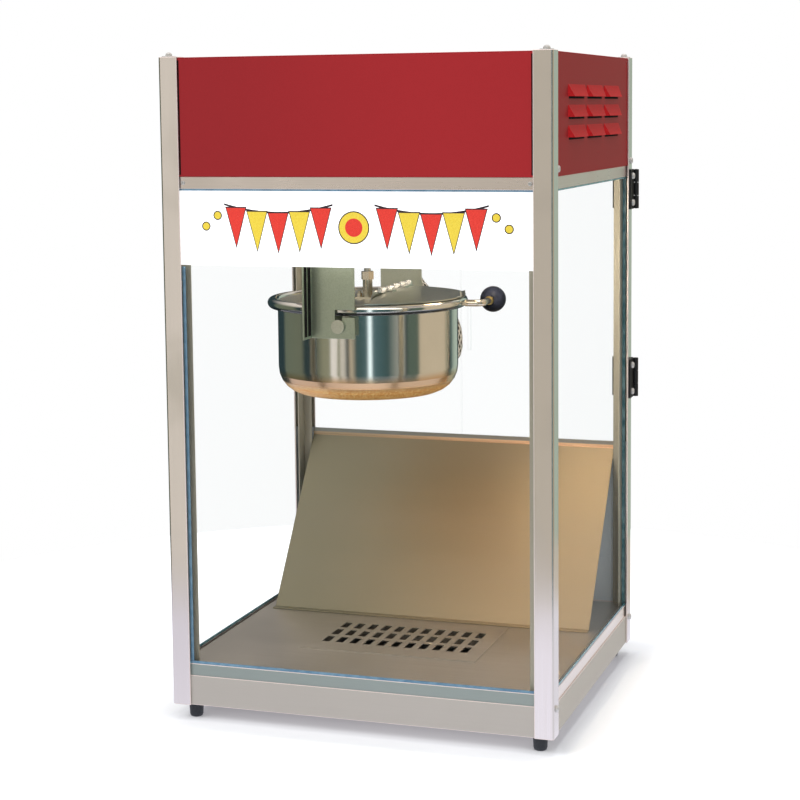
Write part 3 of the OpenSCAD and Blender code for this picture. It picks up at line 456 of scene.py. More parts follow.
def mill_sheet(name, dark, light):
    """Plain sheet with a fine pebbled grain and no direction."""
    def build(r):
        pebbles = r.noise((650, 650, 650), detail=4.0)
        clouds = r.noise((25, 25, 25), detail=3.0)
        mix = 0.6 * pebbles.between(0.3, 0.7) + 0.4 * clouds
        return {"Base Color": r.blend(mix, tint(*dark), tint(*light)),
                "Roughness": 0.34 + 0.16 * pebbles, "Normal": r.bump(pebbles, 0.25, 0.03 * MM)}
    return finish_of(name, build, Metallic=1.0)


hanger_steel = mill_sheet("hanger_steel", (176, 186, 164), (194, 203, 183))
# The rear hanger is a brighter copy of the front hanger's sheet: painted light.
lit_back_hanger_steel = mill_sheet("lit_back_hanger_steel", (214, 216, 198), (226, 228, 212))
print("satin and mill sheet made")

# %% [markdown]
# ## The ramp
# Hot popcorn slides down the ramp. The sheet goes from grey at one side to a warm tan at the other,
# towards the lamp, and that change is a painted warm glow of the lamp. Its upright strip ends in a
# hem, which is grey, and the bend under the hem carries a painted highlight, as if it caught the
# lamp. Both are masks made from height.

# %% Ramp steel
HEM = 4.5 * MM
STRIP = 9 * MM
ramp_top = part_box("ramp")[1].z


def ramp_surface(r):
    """Rolled sheet: grey at one side, a painted lamp glow at the other, and a painted highlight on
    its bend.
    """
    grain = r.noise((ALONG, 600, 600), detail=3.0)
    bands = r.noise((1.5, 16, 16), detail=2.0)
    across = r.place("X") + 0.12 * bands
    # The grey-to-tan change across the width is a painted warm glow from the lamp.
    lamp_glow_share = across.between(-0.14, 0.20)
    painted_glow = r.blend(lamp_glow_share, tint(146, 142, 118), tint(192, 170, 134))
    hem = r.place("Z") > ramp_top - HEM
    # The lit line under the hem is a painted highlight.
    bend = (r.place("Z") > ramp_top - STRIP) - hem
    glint = bend * (0.3 + 0.6 * lamp_glow_share)
    colour = r.blend(0.5 * hem + 0.3 * grain * bands, painted_glow, tint(150, 158, 160))
    return {"Base Color": r.blend(glint, colour, tint(255, 206, 160)),
            "Metallic": 0.8 - 0.6 * glint,
            "Roughness": 0.34 + 0.12 * grain + 0.08 * bands,
            "Normal": r.bump(grain, 0.25, SCRATCH)}


ramp_steel = finish_of("ramp_steel", ramp_surface)
print("ramp steel made, its top at", round(ramp_top, 4), "m")

# %% [markdown]
# ## The spun kettle
# A kettle like this is spun from one disc of stainless steel, which leaves hair-fine rings round
# it. Heat from the element under the pan colours the lowest bend straw to amber, with baked specks
# of oil on it, and here that tint is partly a painted warm reflection as well. The rings are noise
# that changes only with height, and the heat colour is a mask that fades out above the bend and is
# broken up by a fine speckle. The scale is no longer bare metal, so it is given less of a metal's
# mirror and more of a paint's scatter. Faces that look down under the rolled rim get a dark tone,
# which is painted shade.

# %% Kettle steel
RING_DEPTH = 0.010 * MM
kettle_low, kettle_high = (c.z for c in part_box("kettle_shell"))
AMBER_FADES = (kettle_low + 9 * MM, kettle_low + 20 * MM)
STRAW_FADES = (kettle_low + 22 * MM, kettle_low + 34 * MM)
UNDER_RIM = kettle_high - 16 * MM


def spun(r):
    height = r.place("Z")
    rings = r.noise((2, 2, 2600), detail=2.0)
    speck = r.noise((520, 520, 520), detail=5.0)
    clouds = r.noise((30, 30, 30), detail=3.0)
    # The straw and amber heat tint is partly real and partly a painted warm reflection.
    straw = 1 - height.between(*STRAW_FADES)
    heat_tint_and_reflection = 1 - height.between(*AMBER_FADES)
    steel = r.blend(clouds, tint(222, 222, 216), tint(234, 232, 226))
    warm = r.blend(straw, steel, tint(216, 182, 142))
    amber = r.blend(speck.between(0.35, 0.65), tint(230, 156, 70), tint(252, 214, 142))
    # Painted shade: faces that look down under the rolled rim are darkened.
    facing = r.node("ShaderNodeTexCoord", out="Normal")
    downward = 0 - r.node("ShaderNodeSeparateXYZ", None, {0: facing}, "Z")
    painted_rim_shade = downward.between(0.1, 0.5) * (height > UNDER_RIM)
    return {"Base Color": r.blend(painted_rim_shade, r.blend(heat_tint_and_reflection, warm, amber), tint(58, 62, 62)),
            "Metallic": 1 - 0.5 * heat_tint_and_reflection,
            "Roughness": 0.08 + 0.06 * rings + 0.10 * straw + 0.2 * heat_tint_and_reflection,
            "Normal": r.bump(rings, 0.18, RING_DEPTH)}


kettle_steel = finish_of("kettle_steel", spun)
print("kettle steel made, from", round(kettle_low, 4), "to", round(kettle_high, 4), "m")

# %% [markdown]
# ## Inside the kettle
# The pan is spun too, and a baked film of oil has yellowed it in patches. The element below it is a
# steel tube that has been red hot many times, which leaves a rough, dark, flaking oxide.

# %% Pan and element
def pan_surface(r):
    rings = r.noise((2, 2, 1800))
    film = r.noise((45, 45, 45), detail=4.0)
    colour = r.blend(film.between(0.4, 0.75), tint(204, 200, 190), tint(170, 146, 108))
    return {"Base Color": colour, "Roughness": 0.22 + 0.2 * film,
            "Normal": r.bump(rings, 0.15, RING_DEPTH)}


pan_steel = finish_of("pan_steel", pan_surface, Metallic=1.0)


def scaled_oxide(r):
    scale = r.noise((260, 260, 260), detail=5.0)
    colour = r.blend(scale.between(0.35, 0.7), tint(58, 54, 52), tint(98, 84, 76))
    return {"Base Color": colour, "Roughness": 0.5 + 0.3 * scale,
            "Normal": r.bump(scale, 0.5, 0.1 * MM)}


element_oxide = finish_of("element_oxide", scaled_oxide, Metallic=0.6)
print("pan and element finishes made")

# %% [markdown]
# ## Red enamel
# The dome is sprayed with red enamel. Sprayed enamel has a fine orange peel and a clear gloss on
# top, so a coat layer goes over a slightly uneven red. A mask along the machine's width makes the
# red brighter at one side, which is painted light, and the side panels get a darker copy of the
# same red, which is painted shade.

# %% Enamel
def enamel(name, dim_red, bright_red, gloss):
    """Red that is brighter towards the machine's right, which is painted light across its width."""
    def build(r):
        peel = r.noise((420, 420, 420), detail=2.0)
        fleck = r.noise((1500, 1500, 1500), detail=2.0)
        clouds = r.noise((4, 4, 4), detail=2.0)
        # Painted light: the red grows brighter towards the machine's right.
        painted_light_across = r.place("X").between(-0.22, 0.12)
        share = 0.25 * fleck.between(0.3, 0.7) + 0.15 * clouds + 0.6 * painted_light_across
        return {"Base Color": r.blend(share, tint(*dim_red), tint(*bright_red)),
                "Roughness": 0.46 + 0.08 * fleck,
                "Coat Weight": gloss + 0.04 * clouds,
                "Normal": r.bump(peel, 0.12, 0.05 * MM)}
    return finish_of(name, build, **{"Coat Roughness": 0.25, "Specular IOR Level": 3 * gloss})


red_enamel = enamel("red_enamel", (144, 33, 38), (172, 39, 44), 0.06)
# The sides' darker red is a shaded copy of the same enamel: painted shade.
shaded_side_enamel = enamel("shaded_side_enamel", (136, 14, 20), (154, 20, 26), 0.04)
print("enamel made")

# %% [markdown]
# ## Moulded parts, board and ink
# Moulded black plastic and rubber are never quite black, and what tells them apart is mostly how
# rough and how grained they are. One function with two near tones serves all of them, and also
# the louvres' brighter red, which is painted light, the sign's board and its inks. The board is
# thin and stands before the lamp, which shines through it a little, so it gives off some white
# light of its own.

# %% Moulded parts, board and ink
def moulded(name, low, high, grain, rough, depth=0.05, **fixed):
    """Moulded plastic or rubber: two near tones over a grain."""
    def build(r):
        skin = r.noise((grain, grain, grain), detail=3.0)
        colour = r.blend(skin.between(0.3, 0.7), tint(*low), tint(*high))
        return {"Base Color": colour, "Roughness": rough + 0.15 * skin,
                "Normal": r.bump(skin, 0.3, depth * MM)}
    return finish_of(name, build, **fixed)


DULL = {"Specular IOR Level": 0.15}
DULLER = {"Specular IOR Level": 0.1}
DULLEST = {"Specular IOR Level": 0.05}
GLAZE = {"Coat Weight": 0.5}
BACKLIT = {"Emission Color": (1.0, 1.0, 1.0, 1.0), "Emission Strength": 0.7}
# The louvres' brighter red is a lit copy of the side enamel: painted light.
lit_louvre_enamel = moulded("lit_louvre_enamel", (184, 18, 24), (202, 25, 30), 420, 0.45, 0.01, **DULL)
foot_rubber = moulded("foot_rubber", (34, 38, 42), (46, 51, 56), 500, 0.55, 0.06)
black_plastic = moulded("black_plastic", (20, 20, 22), (34, 34, 37), 900, 0.42)
rocker_plastic = moulded("rocker_plastic", (16, 16, 18), (26, 26, 28), 700, 0.25)
phenolic = moulded("phenolic", (10, 12, 18), (15, 17, 24), 240, 0.22, 0.003, **DULLEST)
hinge_coat = moulded("hinge_coat", (18, 18, 20), (34, 34, 36), 1100, 0.40, 0.04)
catch_plastic = moulded("catch_plastic", (44, 44, 47), (60, 60, 63), 800, 0.45)
motor_paint = moulded("motor_paint", (104, 106, 110), (126, 128, 132), 600, 0.45, 0.06)
porcelain = moulded("porcelain", (228, 226, 218), (240, 238, 232), 120, 0.20, 0.02, **GLAZE)
sign_board = moulded("sign_board", (251, 251, 252), (254, 254, 255), 300, 0.45, 0.003, **BACKLIT)
mark_paint = moulded("mark_paint", (224, 224, 220), (240, 240, 236), 900, 0.5, 0.01)
ink_red = moulded("ink_red", (238, 56, 44), (248, 66, 52), 500, 0.5, 0.003)
ink_yellow = moulded("ink_yellow", (250, 218, 62), (255, 228, 80), 500, 0.5, 0.003)
ink_dark = moulded("ink_dark", (44, 32, 40), (62, 46, 54), 500, 0.5, 0.003)
shadow_gap = moulded("shadow_gap", (16, 14, 14), (30, 26, 26), 500, 0.8, 0.01, **DULLER)
print("moulded finishes made")

# %% [markdown]
# ## The bulb
# A frosted bulb glows evenly all over, a little warmer where the frost is thick. The finish only
# makes the bulb look lit. The light that it sheds on the kettle comes from a small lamp object in
# the studio cell, because light from a small glowing mesh renders grainy.

# %% Bulb glass
def lit_bulb(r):
    frost = r.noise((180, 180, 180), detail=3.0)
    glow = r.blend(frost, tint(255, 214, 150), tint(255, 236, 196))
    return {"Base Color": r.blend(frost, tint(240, 232, 214), tint(250, 246, 234)),
            "Roughness": 0.30 + 0.2 * frost, "Emission Color": glow}


bulb_glass = finish_of("bulb_glass", lit_bulb, **{"Emission Strength": 5.0})
print("bulb glass made")

# %% [markdown]
# ## Glass and clear plastic
# A flat pane is seen by what it reflects and by its edges. Light that enters an edge travels far
# inside the sheet and comes out coloured, blue-green in float glass. So the faces of a pane are
# mostly see-through with a thin gloss, the edge faces get a deep tint of their own, and the pane
# lets lamp light through so that it casts no dark shadow.

# %% Glass
def pane(name, sheen, gloss, roughness):
    """A see-through face with a gloss that grows towards grazing angles."""
    material = bpy.data.materials.new(name)
    r = Recipe(material)
    wipe = r.noise((7, 7, 7), detail=3.0)
    sockets = {"Base Color": r.blend(wipe, tint(*sheen), tint(190, 196, 198)),
               "Roughness": roughness + 0.05 * wipe}
    film = r.node("ShaderNodeBsdfPrincipled", None, sockets)
    clear = r.node("ShaderNodeBsdfTransparent", None, {"Color": (0.995, 0.998, 0.998, 1.0)})
    facing = r.node("ShaderNodeLayerWeight", None, {"Blend": 0.35}, out="Facing")
    shadow = r.node("ShaderNodeLightPath", out="Is Shadow Ray")
    share = (gloss + 0.08 * facing ** 3.0) * (1 - shadow)
    mixed = r.node("ShaderNodeMixShader", None, {0: share, 1: clear, 2: film})
    r.node("ShaderNodeOutputMaterial", None, {"Surface": mixed})
    return material


def edge(name, deep, bright):
    """The cut edge of a sheet, where light comes out coloured and in streaks."""
    def build(r):
        streaks = r.noise((90, 90, 90), detail=4.0)
        colour = r.blend(streaks.between(0.3, 0.7), tint(*deep), tint(*bright))
        return {"Base Color": colour, "Roughness": 0.12 + 0.1 * streaks}
    return finish_of(name, build, **{"Specular IOR Level": 0.6})


glass_face = pane("glass_face", (130, 150, 152), 0.003, 0.03)
glass_edge = edge("glass_edge", (70, 120, 130), (128, 168, 176))
bead_blue = edge("bead_blue", (84, 124, 150), (110, 148, 172))
bead_teal = edge("bead_teal", (72, 118, 126), (110, 156, 162))
acrylic_face = pane("acrylic_face", (150, 156, 160), 0.003, 0.05)
acrylic_edge = pane("acrylic_edge", (170, 184, 190), 0.05, 0.10)
print("glass and acrylic made")

# %% [markdown]
# ## Giving a part its finish
# A part of the frame keeps its mesh, and only its material slots are filled. Where one part shows
# two surfaces, as a pane does with its faces and its cut edges, a second slot is added, and its
# faces are picked by where they lie and which way they look.

# %% Painted panes
def paint_node(name, material):
    """Gives a part of the frame its finish."""
    mesh = nodes[name].data
    mesh.materials.clear()
    mesh.materials.append(material)


def paint_some(name, material, picks):
    """Gives a second finish to those faces of a part for which picks(centre, normal) holds."""
    mesh = nodes[name].data
    mesh.materials.append(material)
    chosen = [f for f in mesh.polygons if picks(f.center, f.normal)]
    for face in chosen:
        face.material_index = len(mesh.materials) - 1
    print(name, len(chosen), "faces in", material.name)


# The axis that each pane is looked through, 0 for X and 1 for Y
THROUGH = {"glass_front": 1, "glass_left": 0, "glass_right": 0, "door_left": 1, "door_right": 1}
for name, axis in THROUGH.items():
    door = name.startswith("door")
    paint_node(name, acrylic_face if door else glass_face)
    paint_some(name, acrylic_edge if door else glass_edge, lambda c, n: abs(n[axis]) < 0.7)

# %% [markdown]
# ## Which part has which finish
# The table below is the whole machine as a list for the paint shop. It is easier to check than a
# line of code beside each part, and a part that changes its finish moves from one row to another.

# %% Finishes of the parts
FINISHES = {
    post_steel: ["post_front_left", "post_front_right", "post_rear_left", "post_rear_right"],
    skirt_steel_x: ["skirt_front", "skirt_rear"],
    skirt_steel_y: ["skirt_left", "skirt_right"],
    red_enamel: ["dome_front", "dome_rear", "dome_lid"],
    shaded_side_enamel: ["dome_left", "dome_right"],
    deck_steel: ["base_plate", "ceiling_plate", "floor_deck", "sifter_plate", "kernel_drawer"],
    ramp_steel: ["ramp"],
    panel_steel: ["rear_panel"],
    angle_steel: ["glass_angles"],
    hanger_steel: ["hanger_front"],
    lit_back_hanger_steel: ["hanger_rear"],
    lid_steel: ["lid_fixed", "lid_flap"],
    hinge_coat: ["hinge_post_leaves", "door_fittings_left", "door_fittings_right"],
    black_plastic: ["cord_gland", "switch_frames", "lead_receptacle"],
    rocker_plastic: ["rocker_light", "rocker_motor", "rocker_kettle"],
    catch_plastic: ["magnetic_catches"],
    motor_paint: ["gear_motor"],
    kettle_steel: ["kettle_shell"],
    pan_steel: ["kettle_pan"],
    element_oxide: ["heating_element"],
    turned_steel: ["frame_screws", "post_nuts", "lid_pin"],
    pin_steel: ["trunnion_pins"],
    nickel: ["shaft_bearing"],
    agitator_steel: ["agitator"],
    rod_steel: ["handle_rod"],
    phenolic: ["ball_knob"],
    brass: ["drive_coupling"],
    porcelain: ["lamp_socket"],
    bulb_glass: ["bulb"],
    foot_rubber: ["feet"],
    sign_board: ["sign_panel"],
}
for material, names in FINISHES.items():
    for name in names:
        paint_node(name, material)
print(sum(len(names) for names in FINISHES.values()), "parts painted")

# %% [markdown]
# ## Parts with two finishes
# The rails along the sides are given another tone than those at the front, and their grain runs
# the other way. The louvres pressed out of the side panels get a brighter red, which is painted
# light, and the rear panel's front face a near-white tone, which is painted light too. The knuckles
# of the lid's hinge are turned and bright, and the collar by the knob and the bulb's screw cap are
# brass.

# %% Second finishes
SIDE_RAILS = 208 * MM
LOUVRES_HALF = 150 * MM
PIN_X, PIN_Z = -20 * MM, 484.1 * MM
KNUCKLE = 3.3 * MM
COLLAR = 5.5 * MM
CAP_LOW = 591 * MM
knob_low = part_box("ball_knob")[0]


def on_louvre(c, n):
    """A louvre's sloping face, or one of its two ends."""
    slope = 0.3 < abs(n.x) < 0.97 and n.z > 0.2
    return slope or (abs(n.y) > 0.3 and abs(c.y - CABINET_Y) < LOUVRES_HALF)


def on_knuckle(c, n):
    return max(abs(c.x - PIN_X), abs(c.z - PIN_Z)) < KNUCKLE


def on_collar(c, n):
    return c.x > knob_low.x and knob_low.y - COLLAR < c.y < knob_low.y


for name, long_steel, deep_steel in (("header_rails", rail_steel_x, rail_steel_y),
                                     ("sill_rails", sill_steel, sill_side)):
    paint_node(name, long_steel)
    paint_some(name, deep_steel, lambda c, n: abs(c.x) > SIDE_RAILS)
for name in ("dome_left", "dome_right"):
    # Painted light: the louvres' faces get the brighter red.
    paint_some(name, lit_louvre_enamel, on_louvre)
for name in ("lid_fixed", "lid_flap"):
    paint_some(name, turned_steel, on_knuckle)
# Painted light: the rear panel's front face gets the near-white tone.
paint_some("rear_panel", lit_panel_inside, lambda c, n: n.y < -0.5)
paint_some("handle_rod", brass, on_collar)
paint_some("bulb", brass, lambda c, n: c.z > CAP_LOW)

# %% [markdown]
# ## Softening folded edges
# No sheet is folded to a perfectly sharp corner. Real bends and sheared edges are round, and they
# catch a thin line of light that tells the eye how thick the metal is. Each prismatic part is
# copied, its flat triangles are joined into whole faces, and a bevel modifier rounds its edges.
# The joining comes first, because a bevel would also round the seams between triangles.

# %% Whole faces
FLAT_WITHIN = math.radians(0.6)
SAME_PLACE = 1e-6


def whole_faces(mesh):
    """Joins the triangles of flat faces, so that edges are only where the metal has them."""
    work = bmesh.new()
    work.from_mesh(mesh)
    bmesh.ops.remove_doubles(work, verts=work.verts, dist=SAME_PLACE)
    bmesh.ops.dissolve_limit(work, angle_limit=FLAT_WITHIN, verts=work.verts, edges=work.edges,
                             delimit={"MATERIAL"})
    work.to_mesh(mesh)
    work.free()
    if "custom_normal" in mesh.attributes:
        mesh.attributes.remove(mesh.attributes["custom_normal"])
    mesh.shade_smooth()


print("faces count as flat within", round(math.degrees(FLAT_WITHIN), 1), "degrees")

# %% [markdown]
# ## Rounding the edges
# A post's outer corner is a fold with a wider round, so a first bevel takes that edge alone, and a
# second one takes every sharp edge that is left.

# %% Rounded copies
SHARP_FROM = math.radians(32)
FOLD_ROUND = 2.4 * MM
record = frame["record"]
body_of_node = {n: b for b, names in record["behaviour"]["bodies"].items() for n in names}
slot_of_node = {s["node"]: s["material_slot"] for s in record["subparts"]}


def round_folds(piece, is_fold):
    """A wide round on those edges for whose two ends is_fold(a, b) holds."""
    mesh = piece.data
    weights = mesh.attributes.new("bevel_weight_edge", "FLOAT", "EDGE")
    for line in mesh.edges:
        ends = (mesh.vertices[i].co for i in line.vertices)
        weights.data[line.index].value = float(is_fold(*ends))
    folds = piece.modifiers.new("folds", "BEVEL")
    folds.limit_method = "WEIGHT"
    folds.width = FOLD_ROUND
    folds.segments = 4


def soften(name, width, is_fold=None, cut=None):
    """A copy of a part with rounded edges, whose rounds take the finish cut, a painted edge
    highlight, where one is given.
    """
    mesh = nodes[name].data.copy()
    whole_faces(mesh)
    piece = bpy.data.objects.new("soft_" + name, mesh)
    collection.objects.link(piece)
    if is_fold:
        round_folds(piece, is_fold)
    rounding = piece.modifiers.new("rounded edges", "BEVEL")
    rounding.width = width
    rounding.segments = 2
    rounding.limit_method = "ANGLE"
    rounding.angle_limit = SHARP_FROM
    flats = piece.modifiers.new("flat faces", "WEIGHTED_NORMAL")
    flats.weight = 100
    if cut:
        mesh.materials.append(cut)
        rounding.material = len(mesh.materials) - 1
    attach(piece, body_of_node[name])
    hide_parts(name)


print(len(body_of_node), "parts have a body")

# %% [markdown]
# ## The softened parts
# Heavy sheet has wider rounds than light sheet. The sheared edges of the posts, skirts and sill
# rails are brighter than their faces, and their rounds get a pale pink finish that is partly that
# bare cut and partly a painted highlight. A post's fold is told from its other upright edges by its
# place, at the outermost corner of the cabinet.

# %% Softened parts
POST_X, POST_Y = 224 * MM, 205 * MM
NEAR = 0.1 * MM


def post_bend(a, b):
    """The upright edge at a post's outer corner, from its two ends."""
    upright = abs(a.z - b.z) > 0.5
    at_side = min(abs(a.x), abs(b.x)) > POST_X - NEAR
    at_end = abs(a.y - CABINET_Y) > POST_Y - NEAR
    return upright and at_side and at_end


for corner in ("front_left", "front_right", "rear_left", "rear_right"):
    soften("post_" + corner, 0.7 * MM, is_fold=post_bend, cut=edge_highlight)
for name in ("dome_front", "dome_rear", "dome_left", "dome_right", "dome_lid",
             "header_rails", "ramp"):
    soften(name, 0.5 * MM)
for name in ("skirt_front", "skirt_rear", "skirt_left", "skirt_right", "sill_rails"):
    soften(name, 0.7 * MM, cut=edge_highlight)
for name in ("hanger_front", "hanger_rear", "hinge_post_leaves",
             "door_fittings_left", "door_fittings_right", "lead_receptacle",
             "switch_frames", "magnetic_catches", "trunnion_pins"):
    soften(name, 0.45 * MM)
print("softened parts made")

# %% [markdown]
# ## Small pieces
# The solid model stops at the size of a screw's head. What is smaller still tells the eye how
# large the machine is: the cross in a screw, the painted shade under a louvre, the clear bead that
# a pane sits in. Each is a thin closed solid, made from an outline that is pushed out of a face. A
# small function, spot, says where that face lies, so one outline tool serves every side.

# %% Helpers for small pieces
PRINT_SLOTS = {
    ink_red: slot_of_node["sign_panel"], ink_yellow: slot_of_node["sign_panel"],
    ink_dark: slot_of_node["sign_panel"], shadow_gap: slot_of_node["feet"],
    bead_blue: slot_of_node["glass_front"], bead_teal: slot_of_node["glass_left"],
}


def disc(x, z, radius, steps=32):
    """The outline of a round face."""
    return [(x + radius * math.cos(t), z + radius * math.sin(t)) for t in turns(steps)]


def box_outline(low, high):
    """The outline of an upright box, from its low corner to its high one."""
    return [low, (high[0], low[1]), high, (low[0], high[1])]


def prism(work, outline, depths, spot):
    """A closed solid between two depths; spot(a, b, depth) turns an outline point into a place."""
    near, far = ([work.verts.new(spot(a, b, depth)) for a, b in outline] for depth in depths)
    work.faces.new(near)
    work.faces.new(far)
    join_loops(work, near, far)


def solid_piece(name, fill, material, body, slot):
    """A piece of the scene from whatever fill(work) puts into an empty mesh."""
    work = bmesh.new()
    fill(work)
    bmesh.ops.recalc_face_normals(work, faces=work.faces)
    mesh = bpy.data.meshes.new(name)
    work.to_mesh(mesh)
    work.free()
    mesh.materials.append(material)
    piece = bpy.data.objects.new(name, mesh)
    collection.objects.link(piece)
    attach(piece, body)
    return piece


def outlines_piece(name, outlines, depths, spot, material):
    """A thin piece on the cabinet, from outlines and depths in millimetres."""
    def fill(work):
        for outline in outlines:
            prism(work, [(a * MM, b * MM) for a, b in outline], [d * MM for d in depths], spot)
    solid_piece(name, fill, material, "cabinet", PRINT_SLOTS[material])


print("helpers ready")

# %% [markdown]
# ## The sign
# The board behind the front glass carries a printed band. Here it is plain fairground bunting: two
# swags of pennants and a roundel. Printed ink has almost no thickness, so the outlines are solids a
# twentieth of a millimetre thick, with the colours as a second layer on top, as a screen prints
# them. Each colour ends at a height of its own, because two faces in one plane would flicker.

# %% Sign
SWAGS, SWAG_HALF, SWAG_TOP, SWAG_SAG = (-88, 88), 64, 590, 9
STRING_RISE, STRING_THICK = 1.6, 2.2
PENNANT = (23, 42)
OUTLINE = 1.3
TIP = 2.4
ROUNDEL, RED_R, YELLOW_R, EDGE_R = (0, 566), 10, 16.7, 18
DOT_FROM, DOT_STEP, DOT_R, DOT_EDGE_R = (160, 578), (14, -12), 4, 5.2
EDGE_LAYER, STRING_LAYER = (0, 0.04), (0, 0.07)
RED_LAYER, YELLOW_LAYER, RING_LAYER = (0.04, 0.10), (0.04, 0.09), (0.04, 0.08)


def before(name):
    """Places that lie in front of a part of the frame."""
    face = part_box(name)[0].y
    return lambda a, b, depth: (a, face - depth, b)


def swag_height(off):
    return SWAG_TOP - SWAG_SAG * (1 - (off / SWAG_HALF) ** 2)


def pennant(x, z, extra=0.0):
    half, tall = PENNANT[0] / 2 + extra, PENNANT[1]
    return [(x - half, z + extra), (x + half, z + extra), (x, z - tall - TIP * extra)]


def string(middle):
    """The line a swag hangs from, as a thin bowed band."""
    offs = [SWAG_HALF * k / 12 for k in range(-12, 13)]
    upper = [(middle + o, swag_height(o) + STRING_RISE) for o in offs]
    return upper + [(x, z - STRING_THICK) for x, z in reversed(upper)]


on_sign = before("sign_panel")
hung = [(middle + off, swag_height(off)) for middle in SWAGS for off in (-50, -25, 0, 25, 50)]
reds = [pennant(x, z) for k, (x, z) in enumerate(hung) if k % 5 % 2 == 0]
yellows = [pennant(x, z) for k, (x, z) in enumerate(hung) if k % 5 % 2]
dots = [(side * (DOT_FROM[0] + DOT_STEP[0] * k), DOT_FROM[1] + DOT_STEP[1] * k)
        for side in (-1, 1) for k in range(2)]
round_edges = [disc(*ROUNDEL, EDGE_R), *(disc(x, z, DOT_EDGE_R) for x, z in dots)]
for x, z in hung:
    number = round(x + 150)
    outlines_piece(f"ink_edge_{number}", [pennant(x, z, OUTLINE)], EDGE_LAYER, on_sign, ink_dark)
outlines_piece("ink_strings", [string(m) for m in SWAGS], STRING_LAYER, on_sign, ink_dark)
outlines_piece("ink_round_edges", round_edges, EDGE_LAYER, on_sign, ink_dark)
outlines_piece("ink_reds", [*reds, disc(*ROUNDEL, RED_R)], RED_LAYER, on_sign, ink_red)
outlines_piece("ink_yellows", [*yellows, *(disc(x, z, DOT_R) for x, z in dots)], YELLOW_LAYER,
               on_sign, ink_yellow)
outlines_piece("ink_roundel", [disc(*ROUNDEL, YELLOW_R)], RING_LAYER, on_sign, ink_yellow)
print("sign printed with", len(hung), "pennants")

# %% [markdown]
# ## One screw head
# The frame is held by pan-head screws with a cross recess. A recess that is only painted looks
# flat as soon as the light moves, so each head is lofted from rings, and the cross is cut down
# into its top. The profile gives each ring's share of the radius and of the height.

# %% Pan head
PAN_PROFILE = ((1.0, 0.0), (1.0, 0.30), (0.93, 0.66), (0.78, 0.90), (0.60, 1.0))
CROSS_ARM, CROSS_HALF, CROSS_FLOOR = 0.48, 0.13, 0.45


def loop_edges(work, loop):
    """The edges of a closed loop, made where they are missing."""
    ends = zip(loop, loop[1:] + loop[:1])
    return [work.edges.get(pair) or work.edges.new(pair) for pair in ends]


def pan_head(work, centre, normal, radius, height):
    """A head whose seat has its middle at centre, and that points along normal."""
    side = normal.cross(Vector((0.3, 0.5, 0.8))).normalized()
    other = normal.cross(side)

    def loop(outline, rise):
        lifted = centre + normal * (height * rise)
        return [work.verts.new(lifted + side * a + other * b) for a, b in outline]

    rings = [loop(disc(0, 0, radius * share, 24), rise) for share, rise in PAN_PROFILE]
    for low, high in zip(rings, rings[1:]):
        join_loops(work, low, high)
    work.faces.new(rings[0])
    arm, half = CROSS_ARM * radius, CROSS_HALF * radius
    corner = [(arm, -half), (arm, half), (half, half)]
    cross = []
    for _ in range(4):
        cross += corner
        corner = [(-b, a) for a, b in corner]
    top, bottom = loop(cross, 1.0), loop(cross, CROSS_FLOOR)
    around = loop_edges(work, rings[-1]) + loop_edges(work, top)
    bmesh.ops.triangle_fill(work, edges=around, use_beauty=True)
    join_loops(work, top, bottom)
    work.faces.new(bottom)


print("a head has", len(PAN_PROFILE), "rings")

# %% [markdown]
# ## All the screws
# The heads' places are taken from the solids of the frame, so the two can't drift apart. The part
# holds every screw in one mesh, and walking along its edges from corner to corner finds the pieces
# that hang together. A head is flat, so its shortest side is the way that it points.

# %% Screws
def solids_of(name):
    """The boxes of the separate solids in a part of the frame."""
    work = bmesh.new()
    work.from_mesh(nodes[name].data)
    bmesh.ops.remove_doubles(work, verts=work.verts, dist=SAME_PLACE)
    reached, boxes = set(), []
    for start in work.verts:
        if start in reached:
            continue
        reached.add(start)
        queue, places = [start], []
        while queue:
            vertex = queue.pop()
            places.append(vertex.co)
            others = {e.other_vert(vertex) for e in vertex.link_edges} - reached
            reached |= others
            queue += others
        corners = [[pick(p[k] for p in places) for k in range(3)] for pick in (min, max)]
        boxes.append([Vector(corner) for corner in corners])
    work.free()
    return boxes


def fill_screws(work):
    """A head for every solid of the frame's screws, seated where that solid starts."""
    for low, high in solids_of("frame_screws"):
        sizes = high - low
        axis = min(range(3), key=lambda k: sizes[k])
        normal = Vector((0, 0, 0))
        normal[axis] = math.copysign(1, low[axis])
        centre = (low + high) / 2
        centre[axis] = low[axis] if low[axis] > 0 else high[axis]
        pan_head(work, centre, normal, max(sizes) / 2, sizes[axis])


screws = solid_piece("cross_head_screws", fill_screws, turned_steel, "cabinet",
                     slot_of_node["frame_screws"])
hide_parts("frame_screws")
print("screws", len(screws.data.polygons), "faces")

# %% [markdown]
# ## Painted shade lines and glazing beads
# Dark lines do much of the drawing on sheet metal, and here three kinds are painted shade: the
# shade below a louvre, the shade where the dome's front meets a post, and two shade lines on a
# hanger's flange. They are shallow dark solids. The panes sit in clear beads, which take the blue
# of the glass.

# %% Slots and beads
PROUD = 0.06
SIDES = ((-1, "left"), (1, "right"))
PANEL_X, GLASS_X, HANGER_X = 222, 219.3, -78
LOUVRES_Y, LOUVRES_Z = (-90, 0, 90), (667.5, 689.5, 711.5)
SHADE_STRIP_HALF, SHADE_STRIP_LOW, SHADE_STRIP_HIGH = 37, -8.9, -6.6
SHADE_LINE_X, SHADE_LINE_HALF, SHADE_LINE_LOW, SHADE_LINE_HIGH = 201, 0.9, 623, 749
HANGER_SHADE_LOW, HANGER_SHADE_HIGH = 438, 618
HANGER_SHADES = {"front": ((-136, -126.5), (-147, -139)), "rear": ((126.5, 136), (139, 147))}
BEAD = (0.05, 1.0)


